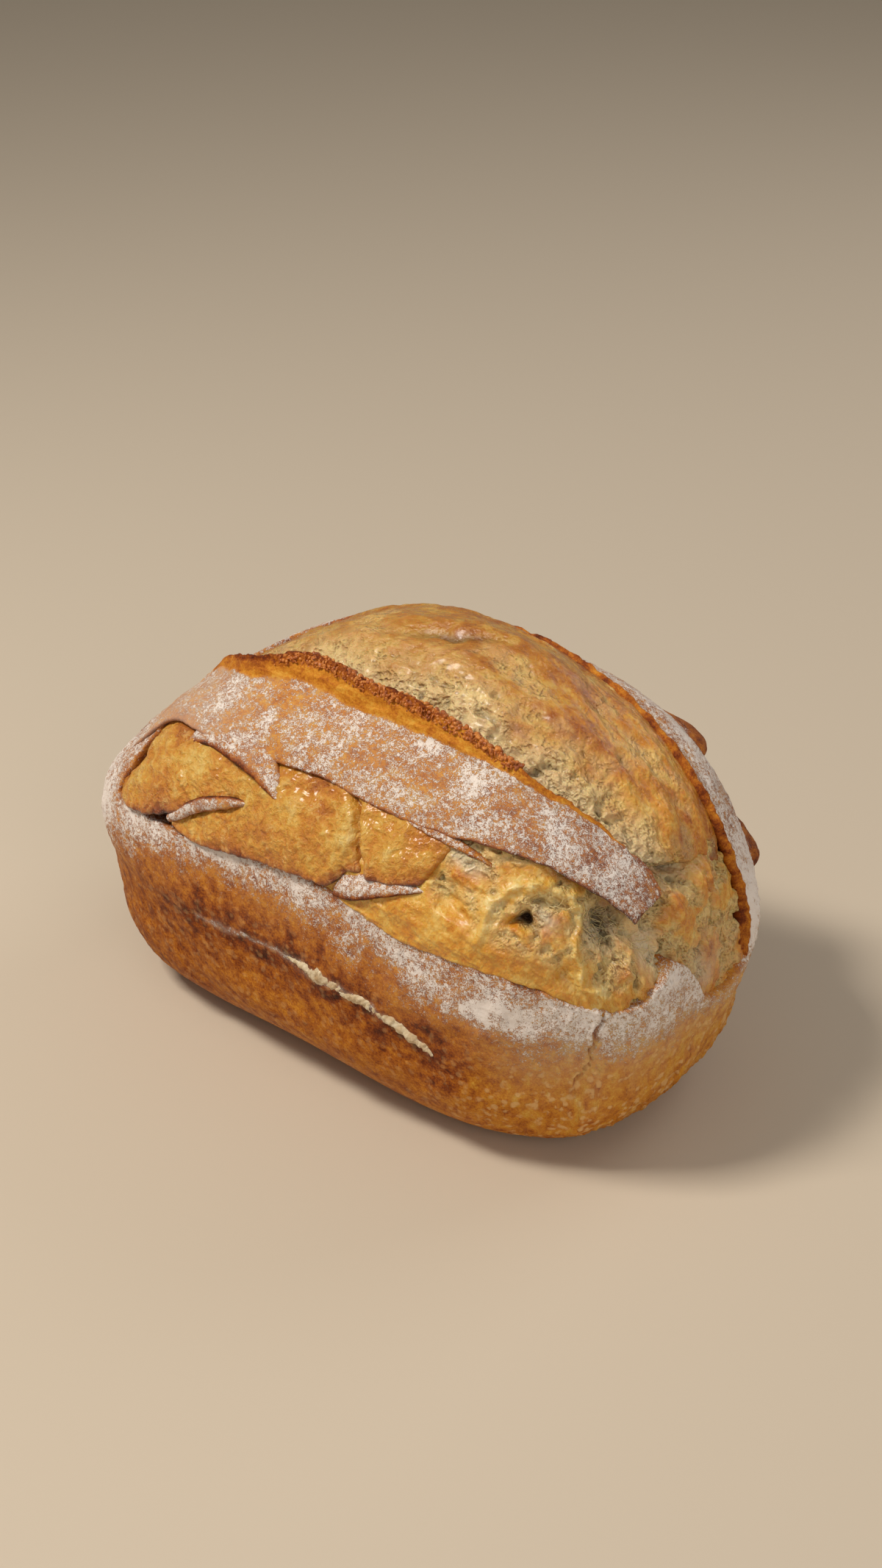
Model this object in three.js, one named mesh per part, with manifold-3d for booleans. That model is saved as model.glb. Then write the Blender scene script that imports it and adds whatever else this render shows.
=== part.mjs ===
// Sourdough loaf, tall and tin shaped, torn open along the top and along one long side.
// Millimetres, +Z up. The flat base lies at z = 0, with the origin under the middle of the loaf's box.
// +X is the end where the torn crumb shows, and -Y is the long side with the curled lobes.

import * as THREE from "three";
import { mergeVertices } from "three/addons/utils/BufferGeometryUtils.js";
import Module from "manifold-3d";

const wasm = await Module();
wasm.setup();

// Driving dimensions of the plain form, before it tore open
const NEAR_LENGTH = 108; // from the top centre to the torn end
const FAR_LENGTH = 100; // from the top centre to the other end
const HALF_WIDTH = 62.5;
const WIDEST_HEIGHT = 51.6; // height of the widest line above the base
const DOME_HEIGHT = 77.6; // the top centre above the widest line
const DOME_RISE = 0.193; // how the dome grows towards the torn end
const DOME_FALL = -0.18; // how it drops again towards both ends
const BASE_CORNER = 31; // radius between wall and base
const WALL_TAPER = 0.04; // share by which the wall draws in towards the base
const NEAR_SQUARENESS = 3; // exponent of the plan outline, 2 is an ellipse
const FAR_SQUARENESS = 4;
const DOME_SQUARENESS = 2.17; // exponent of the dome's section

// The crust is drawn on a chart, unrolled from the top centre: x along the loaf and y across it.
// These half lengths reach from the top centre to the widest line.
const CHART_NEAR = 150;
const CHART_FAR = 135;
const CHART_SIDE = 110;

// The middle of the finished loaf's box, measured from the top centre of the plain form
const BOX_MIDDLE_X = 2.87;
const BOX_MIDDLE_Y = 0.85;

const TEAR_DEPTH = 10; // floor of the torn opening below the plain crust
const ROOT_DEPTH = 14; // how deep the sheets reach into the body, to fuse with it
const RIM_ROUND = 1.6; // rounding of the crust's edge round the opening

const CRUST_COLOUR = 0xb5783c;

// Fineness of the mesh
const COLUMNS = 96;
const FLOOR_ROWS = [0.45, 0.8, 0.955];
const SHOULDER_ROWS = [0.06, 0.18, 0.34, 0.52, 0.7, 0.86, 1];
const WALL_ROWS = [1.09, 1.18, 1.27, 1.36, 1.45, 1.55, 1.66, 1.8];

// The crust's edge round the whole opening, on the chart, seen anticlockwise from the far lobe's tip
const OPENING_CENTRE = [40, -35];
const OPENING = [
  [-84, -80], [-70, -86], [-48, -90], [-14, -88], [28, -88], [52, -90], [75, -86], [102, -78],
  [119, -70], [130, -60], [136, -46], [134, -34], [130, -24], [138, -14], [151, -2], [155, 18],
  [150, 31], [132, 35], [112, 30], [84, 27], [50, 27], [11, 28], [-24, 22], [-50, 10], [-62, -8],
  [-64, -28], [-66, -54], [-78, -72],
];

// Sheets lie on the form between two edges. Each station holds the left edge's x and y, the right
// edge's x and y, and then the sheet's lifts above the plain crust, evenly from left to right.
const CORE = [
  [-92, -56, -84, -24, -4, -4, -4],
  [-60, -58, -56, -24, -2, -1.5, -2],
  [0, -57, 0, -34, -2, -1.5, -2],
  [60, -54, 60, -36, -2, -1.5, -2],
  [96, -42, 96, -28, -7, -6, -7],
];
const STRIP = [
  [-96, -60, -90, -20, -3, -3, -3, -3, -3],
  [-78, -60, -70, -19, 0.3, 0.3, 0.3, 0.4, 0.5],
  [-60, -52, -54, -23, 1, 1.2, 1.2, 1.4, 4],
  [-38, -58, -31, -30, 1, 1.5, 1.4, 1.8, 5.5],
  [-18, -60, -12, -26, 1.6, 2, 1.6, 1.6, 6.5],
  [6, -60, 7, -30, 2, 2, 1.6, 1.6, 6.5],
  [26, -62, 25, -31, 2, 2, 1.6, 1.6, 5.6],
  [45, -61, 46, -32, 2, 2, 1.8, 1.8, 4.4],
  [62, -56, 62, -31, 2, 2.2, 2, 2, 3.4],
  [79, -49, 79, -26, 2, 2.4, 2.2, 2.2, 2.8],
  [92, -44, 92, -22, 2.2, 2.6, 2.6, 2.6, 2.6],
  [103, -39, 103, -19, 2, 2.4, 2.6, 2.4, 2],
  [109, -32, 109, -23, 1.2, 1.6, 1.8, 1.6, 1.2],
];
const SLIVER = [
  [30, -62, 34, -57, 1.6, 1.6, 1],
  [50, -62, 52, -58.5, 2, 1.8, 1],
  [68, -59.5, 67, -58.5, 1, 1, 0.6],
];
const MAIN_CRUMB = [
  [-60, -22, -60, -6, -1, 0, 0, -1],
  [-46, -28, -46, 12, -3, 3, 3.5, -0.5],
  [-20, -33, -20, 19, -4, 3.5, 5, 0],
  [10, -38, 10, 18, -4, 3.4, 5, 0],
  [40, -40, 40, 17, -3.5, 3, 4.6, -0.4],
  [70, -38, 70, 18, -3, 2.2, 3.8, -1],
  [92, -30, 92, 20, -3, 1.8, 2.8, -1.4],
  [106, -22, 108, 20, -4, 0.6, 1.2, -2],
  [113, -14, 116, 18, -6, -4, -3, -4],
];
const END_CRUMB = [
  [92, -40, 96, 22, -7, -6, -5, -5, -3],
  [106, -52, 112, 24, -5, -7, -4, -3, -1.6],
  [118, -62, 124, 27, -2.4, -6, -2, 0.2, -1.4],
  [130, -56, 138, 28, -1.5, -5, -1.8, -2.4, -0.6],
  [137, -34, 152, 28, -2.2, -4.4, -4, -3, -0.6],
  [136, -16, 158, 20, -2, -3, -3, -2.4, -0.8],
];
const SIDE_CRUMB = [
  [46, -80, 48, -52, -1.5, -4, -0.5, -1],
  [60, -79, 62, -50, -0.8, -4.6, -0.8, -1],
  [74, -75, 76, -44, -0.4, -2.4, -1.6, -2],
  [88, -71, 92, -38, -0.4, -2.6, -4.4, -4],
  [104, -67, 106, -34, -0.6, -3.2, -7, -7],
  [120, -63, 118, -34, -0.8, -3, -6, -7],
];
const GOLDEN_BAND = [
  [20, -88, 22, -80, -2, -2, -2],
  [32, -90, 34, -79, 0.2, 0.8, -0.6],
  [52, -91, 52, -76, 0.3, 1.6, 0],
  [74, -87, 73, -72, 0.3, 1.8, -0.2],
  [96, -80, 96, -66, 0.3, 1.4, -0.4],
  [114, -74, 112, -62, 0.2, 0.6, -1],
  [127, -65, 124, -58, -0.6, -0.8, -2],
];
const LOBE_FAR = [
  [-86, -79, -82, -73, -1.5, -1.5, -1.5],
  [-76, -84.5, -70, -67, 1.2, 0.4, -1],
  [-62, -86, -62, -50, 1.6, 1.4, -1.6],
  [-46, -82, -46, -54, 1.8, 2, -1.4],
  [-32, -77, -32, -56, 1.4, 1.8, -1.4],
  [-18, -75, -18, -58, 0.6, 1, -1.6],
  [-4, -74, -4, -62, -0.6, -0.4, -1.6],
];
const LOBE_LONG = [
  [-54, -88.5, -50, -85, -0.6, -0.6, -0.6],
  [-41, -91, -36, -80, 1.4, 0.8, -0.8],
  [-26, -90.5, -22, -72, 1.8, 1.4, -0.6],
  [-10, -89, -10, -58, 2, 2.2, 0],
  [8, -88, 6, -54, 2.2, 3, 0],
  [21, -87, 20, -54, 2.4, 3, 0.2],
  [27, -81.5, 28, -54, 0.4, 1.6, 0.4],
  [36, -80.5, 38, -54, 2.2, 3, 0.6],
  [46, -78, 48, -54, 2.6, 2.6, 0.4],
  [51, -74, 53, -56, 1.4, 1.2, -0.6],
];
const FLAP_FAR = [
  [-54, -87, -54, -82, 0.4, 1.4, 1],
  [-40, -82.5, -42, -77, 2.4, 3, 1.6],
  [-28, -77.5, -30, -72.5, 2.6, 2.8, 1],
  [-17, -74.6, -18, -73, 1, 1, 0],
];
const FLAP_POINTED = [
  [-34, -61, -28, -56, 1, 1.4, 1],
  [-20, -66, -14, -58, 2, 2.4, 1],
  [-11, -70.5, -7, -64, 2.6, 2.6, 1.6],
  [-6, -73, -5, -71, 1.4, 1.4, 1],
];
const FLAP_LONG = [
  [22, -89, 26, -81, 0.2, 0.8, 0.4],
  [34, -85.5, 36, -80, 2, 2, 0.4],
  [46, -80.5, 47, -77.5, 1.8, 1.6, 0.4],
  [55, -75.5, 55, -74.5, 0, 0, -0.4],
];
const RIGHT_RIM = [
  [-52, 0, -58, 12, -1, -1, -1],
  [-20, 16, -22, 24, 0.6, 1.4, 0],
  [14, 15, 14, 28, 0.4, 1.8, 0.2],
  [50, 16, 50, 28, 0.2, 2, 0.2],
  [84, 17, 84, 28, 0.2, 2, 0.2],
  [110, 21, 112, 31, 0.2, 1.8, 0.2],
  [130, 24, 134, 37, 0, 1.6, 0],
  [143, 24, 150, 38, -1, 0.4, -1],
];
// The long side that is turned away has one long tear, with two curled ears of crust on its upper edge.
const BACK_TEAR = [
  [-84, 78, -82, 80, -1, -0.4, -1],
  [-60, 70, -60, 88, 0.2, 2, 0.4],
  [-20, 68, -20, 92, 0.2, 2.6, 0.8],
  [30, 70, 30, 94, 0.2, 2.8, 1],
  [78, 74, 78, 98, 0.2, 2.6, 0.8],
  [108, 80, 106, 96, 0.2, 1.6, 0.4],
  [124, 84, 124, 88, -1, -0.6, -1],
];
const BACK_EAR_LONG = [
  [10, 58, 12, 68, -0.6, 0.4, 2],
  [30, 58, 34, 74, -0.4, 2, 5],
  [48, 60, 54, 79, -0.4, 3, 9],
  [60, 62, 66, 79, -0.4, 3, 9.5],
  [70, 66, 71, 76, -0.6, 1.6, 4],
];
const BACK_EAR_SHORT = [
  [84, 72, 86, 80, -0.6, 0.6, 2],
  [96, 74, 98, 88, -0.4, 3, 7.5],
  [106, 76, 108, 91, -0.4, 3.4, 9],
  [114, 78, 114, 86, -0.6, 1.4, 3],
];

const STREAK = [
  [-58, -117, -58, -115, 0, 0.1, 0],
  [-32, -115, -32, -112, 0, 0.8, 0],
  [4, -114.5, 4, -111, 0, 1, 0],
  [24, -117, 22, -112.5, 0, 1.2, 0],
  [42, -117, 41, -111.5, 0, 1.6, 0],
  [62, -117.5, 62, -114, 0, 1.1, 0],
  [88, -118.5, 88, -116.5, 0, 0.2, 0],
];

const mix = (a, b, t) => a + (b - a) * t;
const clamp = (value, low, high) => Math.min(Math.max(value, low), high);

function smoothStep(low, high, value) {
  const t = clamp((value - low) / (high - low), 0, 1);
  return t * t * (3 - 2 * t);
}

// A smooth curve through evenly spaced values, which may be numbers in lists of equal length
function throughValues(values, t) {
  const place = clamp(t, 0, 1) * (values.length - 1);
  const index = Math.min(Math.floor(place), values.length - 2);
  const f = place - index;
  const before = values[Math.max(index - 1, 0)];
  const after = values[Math.min(index + 2, values.length - 1)];
  const from = values[index];
  const to = values[index + 1];
  const one = (a, b, c, d) =>
    b + 0.5 * f * (c - a + f * (2 * a - 5 * b + 4 * c - d + f * (3 * (b - c) + d - a)));
  if (typeof from === "number") return one(before, from, to, after);
  return from.map((value, k) => one(before[k], value, to[k], after[k]));
}

// How far a chart point lies from the top centre: 1 on the widest line, 2 at the middle of the base
function chartRadius(x, y) {
  const power = x > 0 ? NEAR_SQUARENESS : FAR_SQUARENESS;
  const along = Math.abs(x) / (x > 0 ? CHART_NEAR : CHART_FAR);
  const across = Math.abs(y) / CHART_SIDE;
  return (along ** power + across ** power) ** (1 / power);
}

// The plain form: the place in space of a chart point
function plainPoint(chartX, chartY) {
  const h = Math.max(chartRadius(chartX, chartY), 1e-6);
  const length = chartX > 0 ? NEAR_LENGTH : FAR_LENGTH;
  const edgeX = (length * chartX) / (chartX > 0 ? CHART_NEAR : CHART_FAR) / h;
  const edgeY = (HALF_WIDTH * chartY) / CHART_SIDE / h;
  if (h <= 1) {
    const turn = (h * Math.PI) / 2;
    const spread = Math.sin(turn) ** (2 / DOME_SQUARENESS);
    const x = edgeX * spread;
    const share = x / NEAR_LENGTH;
    const dome = DOME_HEIGHT * (1 + DOME_RISE * share + DOME_FALL * share * share);
    const rise = Math.max(Math.cos(turn), 0) ** (2 / DOME_SQUARENESS);
    return new THREE.Vector3(x, edgeY * spread, WIDEST_HEIGHT + dome * rise);
  }
  const reach = Math.hypot(edgeX, edgeY);
  const wall = WIDEST_HEIGHT - BASE_CORNER;
  const arc = (BASE_CORNER * Math.PI) / 2;
  const base = reach * (1 - WALL_TAPER) - BASE_CORNER;
  const down = clamp(h - 1, 0, 1) * (wall + arc + base);
  const onWall = Math.min(down, wall);
  const turn = clamp(down - wall, 0, arc) / BASE_CORNER;
  const onBase = Math.max(down - wall - arc, 0);
  const drawnIn = 1 - (WALL_TAPER * onWall) / wall;
  const radius = reach * drawnIn - BASE_CORNER * (1 - Math.cos(turn)) - onBase;
  const height = WIDEST_HEIGHT - onWall - BASE_CORNER * Math.sin(turn);
  return new THREE.Vector3((edgeX * radius) / reach, (edgeY * radius) / reach, height);
}

// Slow unevenness of the whole crust, with the shoulder that swells over the wall at the far end
function swell(x, y) {
  const h = chartRadius(x, y);
  const waves = 0.7 * Math.sin(x / 21 + 1) * Math.cos(y / 27) + 0.5 * Math.sin(x / 13 + y / 17);
  const shoulder = 2.2 * Math.exp(-(((h - 0.9) / 0.11) ** 2)) * smoothStep(-60, -110, x);
  return (waves + shoulder) * (1 - smoothStep(1.28, 1.4, h));
}

// A chart point raised above the plain form along its normal
function raisedPoint(x, y, lift) {
  const step = 0.6;
  const alongX = plainPoint(x + step, y).sub(plainPoint(x - step, y));
  const alongY = plainPoint(x, y + step).sub(plainPoint(x, y - step));
  const normal = alongX.cross(alongY).normalize();
  return plainPoint(x, y).addScaledVector(normal, lift + swell(x, y));
}

// A solid from points and triangles, turned so that its faces point out
function solidFrom(points, triangles) {
  const a = new THREE.Vector3();
  const volume = triangles.reduce(
    (sum, [i, j, k]) => sum + a.crossVectors(points[i], points[j]).dot(points[k]),
    0,
  );
  const outward = volume > 0 ? triangles : triangles.map(([i, j, k]) => [i, k, j]);
  const vertProperties = new Float32Array(points.flatMap((p) => [p.x, p.y, p.z]));
  const triVerts = new Uint32Array(outward.flat());
  return new wasm.Manifold(new wasm.Mesh({ numProp: 3, vertProperties, triVerts }));
}

function quad(triangles, a, b, c, d) {
  triangles.push([a, b, c], [a, c, d]);
}

// The chart point where the ray from the opening's centre through a rim point meets the widest line
function widestBeyond(rim) {
  const [centreX, centreY] = OPENING_CENTRE;
  let near = 1;
  let far = 12;
  for (let k = 0; k < 40; k += 1) {
    const middle = (near + far) / 2;
    const inside = chartRadius(mix(centreX, rim[0], middle), mix(centreY, rim[1], middle)) < 1;
    if (inside) near = middle;
    else far = middle;
  }
  return [mix(centreX, rim[0], near), mix(centreY, rim[1], near)];
}

// One column of the body, from the floor of the opening over the rim and down to the base
function bodyColumn(turn) {
  const rim = throughValues([...OPENING, OPENING[0]], turn);
  const edge = widestBeyond(rim);
  const reach = Math.hypot(edge[0] - rim[0], edge[1] - rim[1]);
  const column = [];
  for (const share of FLOOR_ROWS) {
    const x = mix(OPENING_CENTRE[0], rim[0], share);
    const y = mix(OPENING_CENTRE[1], rim[1], share);
    column.push(raisedPoint(x, y, -TEAR_DEPTH));
  }
  column.push(raisedPoint(rim[0], rim[1], -RIM_ROUND));
  const round = RIM_ROUND / Math.max(reach, RIM_ROUND * 4);
  for (const share of [round, ...SHOULDER_ROWS.map((row) => mix(round, 1, row))]) {
    column.push(raisedPoint(mix(rim[0], edge[0], share), mix(rim[1], edge[1], share), 0));
  }
  for (const h of WALL_ROWS) column.push(raisedPoint(edge[0] * h, edge[1] * h, 0));
  return column;
}

function loafBody() {
  const columns = [];
  for (let k = 0; k < COLUMNS; k += 1) columns.push(bodyColumn(k / COLUMNS));
  const rows = columns[0].length;
  const points = columns.flat();
  const triangles = [];
  for (let k = 0; k < COLUMNS; k += 1) {
    const here = k * rows;
    const next = ((k + 1) % COLUMNS) * rows;
    for (let row = 0; row + 1 < rows; row += 1) {
      quad(triangles, here + row, next + row, next + row + 1, here + row + 1);
    }
  }
  const floor = points.push(raisedPoint(...OPENING_CENTRE, -TEAR_DEPTH)) - 1;
  const base = points.push(new THREE.Vector3(0, 0, 0)) - 1;
  for (let k = 0; k < COLUMNS; k += 1) {
    const here = k * rows;
    const next = ((k + 1) % COLUMNS) * rows;
    triangles.push([floor, next, here], [base, here + rows - 1, next + rows - 1]);
  }
  return solidFrom(points, triangles);
}

// A closed sheet on the form. Its underside lies at a fixed depth, or at a thickness below its top.
function sheet(stations, along, across, thickness = null) {
  const points = [];
  const width = across + 1;
  for (const under of [false, true]) {
    for (let i = 0; i <= along; i += 1) {
      const [leftX, leftY, rightX, rightY, ...lifts] = throughValues(stations, i / along);
      for (let j = 0; j <= across; j += 1) {
        const lift = throughValues(lifts, j / across);
        const low = thickness === null ? -ROOT_DEPTH : lift - thickness;
        const x = mix(leftX, rightX, j / across);
        const y = mix(leftY, rightY, j / across);
        points.push(raisedPoint(x, y, under ? low : lift));
      }
    }
  }
  const below = (along + 1) * width;
  const triangles = [];
  for (let i = 0; i < along; i += 1) {
    for (let j = 0; j < across; j += 1) {
      const a = i * width + j;
      quad(triangles, a, a + width, a + width + 1, a + 1);
      quad(triangles, below + a, below + a + 1, below + a + width + 1, below + a + width);
    }
  }
  const border = [];
  for (let j = 0; j < across; j += 1) border.push(j);
  for (let i = 0; i < along; i += 1) border.push(i * width + across);
  for (let j = across; j > 0; j -= 1) border.push(along * width + j);
  for (let i = along; i > 0; i -= 1) border.push(i * width);
  border.forEach((a, k) => {
    const b = border[(k + 1) % border.length];
    quad(triangles, a, b, below + b, below + a);
  });
  return solidFrom(points, triangles);
}

// The torn crumb and the skins that grew in the opening
function tornInside() {
  return [
    sheet(CORE, 16, 2),
    sheet(MAIN_CRUMB, 24, 8),
    sheet(END_CRUMB, 12, 12),
    sheet(SIDE_CRUMB, 14, 8),
    sheet(GOLDEN_BAND, 18, 4),
    sheet(LOBE_FAR, 14, 6),
    sheet(LOBE_LONG, 22, 6),
  ];
}

// The crust that stands free or curls at the edges of the opening
function curledCrust() {
  return [
    sheet(STRIP, 36, 9, 3.4),
    sheet(SLIVER, 6, 2, 2.4),
    sheet(FLAP_FAR, 8, 2, 4),
    sheet(FLAP_POINTED, 6, 2, 4),
    sheet(FLAP_LONG, 8, 2, 4),
    sheet(RIGHT_RIM, 30, 4, 5),
  ];
}

function turnedAwaySide() {
  return [
    sheet(BACK_TEAR, 20, 4, 6),
    sheet(BACK_EAR_LONG, 8, 4, 2.6),
    sheet(BACK_EAR_SHORT, 6, 4, 2.6),
  ];
}

// Everything joined. The largest part is the loaf: the others are scraps and hollows sealed inside it.
function loafSolid() {
  const pieces = [...tornInside(), ...curledCrust(), ...turnedAwaySide(), sheet(STREAK, 24, 2, 3)];
  const joined = pieces.reduce((solid, piece) => solid.add(piece), loafBody());
  return joined.decompose().reduce((a, b) => (b.volume() > a.volume() ? b : a));
}

function loafGeometry() {
  const mesh = loafSolid().getMesh();
  const geometry = new THREE.BufferGeometry();
  geometry.setAttribute("position", new THREE.BufferAttribute(mesh.vertProperties, 3));
  geometry.setIndex(new THREE.BufferAttribute(mesh.triVerts, 1));
  geometry.translate(-BOX_MIDDLE_X, -BOX_MIDDLE_Y, 0);
  return mergeVertices(geometry, 1e-4);
}

const crust = new THREE.MeshStandardMaterial({ color: CRUST_COLOUR, roughness: 0.7, metalness: 0 });
const loaf = new THREE.Mesh(loafGeometry(), crust);
loaf.name = "loaf";

const model = new THREE.Group();
model.add(loaf);

export default model;
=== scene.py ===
"""A tall sourdough loaf, torn open along its top and one long side, on a pale studio floor.

Lengths are in millimetres on the loaf's own form, and turned to metres where a mesh is made.
The crust is drawn on a chart, unrolled from the top centre: x along the loaf, y across it.
"""

import math

import bmesh
import bpy
import numpy as np
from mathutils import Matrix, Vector


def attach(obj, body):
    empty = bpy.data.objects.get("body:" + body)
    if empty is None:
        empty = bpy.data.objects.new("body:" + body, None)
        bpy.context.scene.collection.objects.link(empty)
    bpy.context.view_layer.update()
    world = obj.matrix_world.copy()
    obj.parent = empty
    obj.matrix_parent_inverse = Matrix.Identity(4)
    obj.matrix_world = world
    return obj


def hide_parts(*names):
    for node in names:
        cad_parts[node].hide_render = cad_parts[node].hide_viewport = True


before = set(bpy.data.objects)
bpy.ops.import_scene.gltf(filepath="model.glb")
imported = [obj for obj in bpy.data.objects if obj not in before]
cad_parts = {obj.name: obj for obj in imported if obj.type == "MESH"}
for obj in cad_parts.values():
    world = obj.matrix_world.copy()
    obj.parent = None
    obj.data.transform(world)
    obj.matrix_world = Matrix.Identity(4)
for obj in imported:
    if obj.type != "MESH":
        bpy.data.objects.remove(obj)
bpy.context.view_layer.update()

METRE = 0.001
CHART_UNIT = 0.1
BODY = "root"
NODE = "loaf"

# The plain form, before the loaf tore open
NEAR_LENGTH = 108.0
FAR_LENGTH = 100.0
HALF_WIDTH = 62.5
WIDEST_HEIGHT = 51.6
DOME_HEIGHT = 77.6
DOME_RISE = 0.193
DOME_FALL = -0.18
BASE_CORNER = 31.0
WALL_TAPER = 0.04
NEAR_SQUARENESS = 3.0
FAR_SQUARENESS = 4.0
DOME_SQUARENESS = 2.17

CHART_NEAR = 150.0
CHART_FAR = 135.0
CHART_SIDE = 110.0

# The middle of the loaf's box, from the top centre of the plain form
BOX_MIDDLE = np.array([2.87, 0.85, 0.0])

TEAR_DEPTH = 10.0
ROOT_DEPTH = 11.0

# How finely the crust is drawn
RIM_COLUMNS = 720
SHOULDER_RINGS = 62
WALL_RINGS = 54
SHEET_SEED = 1

# The crust's edge round the opening, on the chart
OPENING_CENTRE = (40.0, -35.0)
OPENING = [
    (-84, -80), (-70, -86), (-48, -90), (-14, -88), (28, -88), (52, -90), (75, -86), (102, -78),
    (119, -70), (130, -60), (136, -46), (134, -34), (130, -24), (138, -14), (151, -2), (155, 18),
    (150, 31), (132, 35), (112, 30), (84, 27), (50, 27), (11, 28), (-24, 22), (-50, 10), (-62, -8),
    (-64, -28), (-66, -54), (-78, -72),
]

# Sheets on the form. Each station holds the left edge's x and y, the right edge's x and y, and the
# sheet's lifts above the plain crust, evenly from left to right.
CORE = [
    (-92, -56, -84, -24, -4, -4, -4),
    (-60, -58, -56, -24, -2, -1.5, -2),
    (0, -57, 0, -34, -2, -1.5, -2),
    (60, -54, 60, -36, -2, -1.5, -2),
    (96, -42, 96, -28, -7, -6, -7),
]
STRIP = [
    (-96, -60, -90, -20, -3, -3, -3, -3, -3),
    (-78, -60, -70, -19, 0.5, 0.6, 0.4, 0.4, 0.5),
    (-60, -52, -54, -22, 1.2, 1.4, 1.2, 1, 1.8),
    (-38, -58, -31, -30, 1.6, 1.9, 1.6, 1.8, 5.5),
    (-18, -60, -12, -26, 1.8, 2.2, 1.8, 1.6, 6.5),
    (6, -60, 7, -30, 2, 2.4, 1.8, 1.6, 6.5),
    (26, -62, 25, -31, 2, 2.4, 1.8, 1.6, 5.6),
    (45, -61, 46, -32, 2, 2.4, 2, 1.8, 4.4),
    (62, -56, 62, -31, 2, 2.4, 2.2, 2, 3.4),
    (79, -49, 79, -26, 2.2, 2.8, 2.4, 2.2, 2.8),
    (92, -44, 92, -22, 2.6, 3, 2.8, 2.8, 2.8),
    (103, -39, 102, -19, 2.8, 3, 3, 2.8, 2.4),
    (110, -36, 108, -20, 2.4, 2.8, 2.8, 2.6, 2),
]
SLIVER = [
    (30, -62, 34, -57, 1.6, 1.6, 1),
    (50, -62, 52, -58.5, 2, 1.8, 1),
    (68, -59.5, 67, -58.5, 1, 1, 0.6),
]
MAIN_CRUMB = [
    (-58, -26, -58, -10, -2.4, -2.2, -2.2, -2),
    (-44, -30, -46, 9, -3, -1.6, -1.4, -1),
    (-26, -34, -26, 21.5, -3.6, 1.2, 1.4, -0.6),
    (-6, -37, -6, 25, -3.8, 3.2, 3.8, -0.4),
    (16, -39, 16, 26.6, -3.6, 3.5, 4.8, -0.2),
    (40, -40, 40, 26.8, -3.2, 3.2, 4.6, -0.2),
    (66, -38, 66, 26.8, -3, 2.4, 3.6, -0.3),
    (84, -32, 86, 26.6, -2.6, 2, 2.8, -0.6),
    (92, -27, 104, 26.5, -1.2, 1.8, 0.6, -1),
    (97, -21, 113, 26, 0.6, 0.2, -2.2, -2.2),
]
TORN_FIELD = [
    (14, -88, 16, -48, -1, -1, -1, -1, -1, -1, -1),
    (34, -91, 36, -48, 0.2, 1, 0, -1, -1, -0.6, -0.6),
    (54, -91.8, 56, -46, 0.3, 1.6, 0.6, -0.6, 0, 0.2, -0.4),
    (74, -88, 76, -40, 0.3, 1.8, 0.9, 0.1, 0, -0.5, -1),
    (92, -82.4, 92, -10, 0.3, 1.5, 0.2, -1.4, -3.4, -4.6, -5),
    (106, -77, 100, 12, 0.2, 0.4, -3.4, -5.2, -4.4, -4.2, -1.6),
    (118, -72, 108, 26, -0.2, -1.6, -4.2, -2.6, -1, -0.6, -1),
    (128, -66, 122, 34, -0.6, -1.8, -3.2, -2.8, -1.6, -1, -0.8),
    (137, -56, 142, 36, -1, -1.8, -2.6, -2.8, -2.6, -1.6, -0.6),
    (141, -40, 156, 36, -1.2, -2.2, -2.8, -2.8, -2.8, -2, -0.8),
    (138, -25, 162, 24, -1.4, -2.2, -2.6, -2.8, -2.6, -2, -1),
    (134, -16, 160, 2, -1.5, -1.6, -1.8, -2, -2, -1.8, -1.2),
]
LOBE_FAR = [
    (-86, -79, -82, -73, -1.5, -1.5, -1.5, -1.5),
    (-76, -85, -70, -66, 1.4, 1, 0, -1),
    (-62, -86.5, -62, -49, 1.8, 2, 0.8, -1),
    (-46, -83, -46, -53, 1.8, 2.4, 1.4, -1),
    (-32, -78, -32, -55, 1.4, 2, 1.2, -1),
    (-18, -76, -18, -57, 0.6, 1, 0.4, -1),
    (-4, -75, -4, -60, -0.6, -0.4, -0.6, -1.6),
]
LOBE_LONG = [
    (-54, -88.5, -50, -85, -0.6, -0.6, -0.6, -0.6),
    (-41, -91, -36, -80, 1.4, 1.2, 0.4, -0.8),
    (-26, -90.5, -22, -72, 1.8, 1.8, 0.8, -0.8),
    (-10, -89, -10, -57, 2, 2.6, 1.6, -0.8),
    (8, -88, 6, -55, 2.2, 3.2, 1.6, -0.8),
    (21, -87, 20, -55, 2.4, 3, 1.4, -0.8),
    (27, -81.5, 28, -55, 0.4, 1.8, 1, -0.8),
    (36, -80.5, 38, -55, 2.4, 3.2, 1.4, -0.8),
    (46, -78, 48, -55, 2.6, 3, 1.2, -1),
    (53, -75, 56, -57, 1.6, 1.6, 0.2, -1.2),
]
FLAP_FAR = [
    (-54, -88, -54, -85, 0.4, 1, 0.6),
    (-46, -85.5, -46, -81.5, 2, 2.6, 2.2),
    (-38, -82, -38, -77.5, 2.4, 3.2, 3),
    (-28, -78.8, -29, -74.8, 2.6, 3.2, 3),
    (-20, -76, -20, -73.4, 2.2, 2.6, 2),
    (-14, -73.6, -14, -73, 0.8, 0.8, 0.2),
]
FLAP_POINTED = [
    (-48, -60.5, -44, -55, 0.8, 1, 0.8),
    (-36, -61, -32, -54, 2.2, 2, 1.6),
    (-26, -63.5, -22, -55, 3, 2.6, 1.9),
    (-17, -66, -14, -57, 3.4, 3, 2),
    (-10, -68.5, -8, -62, 3.6, 3.4, 2.2),
    (-4, -71.8, -3.5, -70.6, 2, 2, 1),
]
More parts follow.
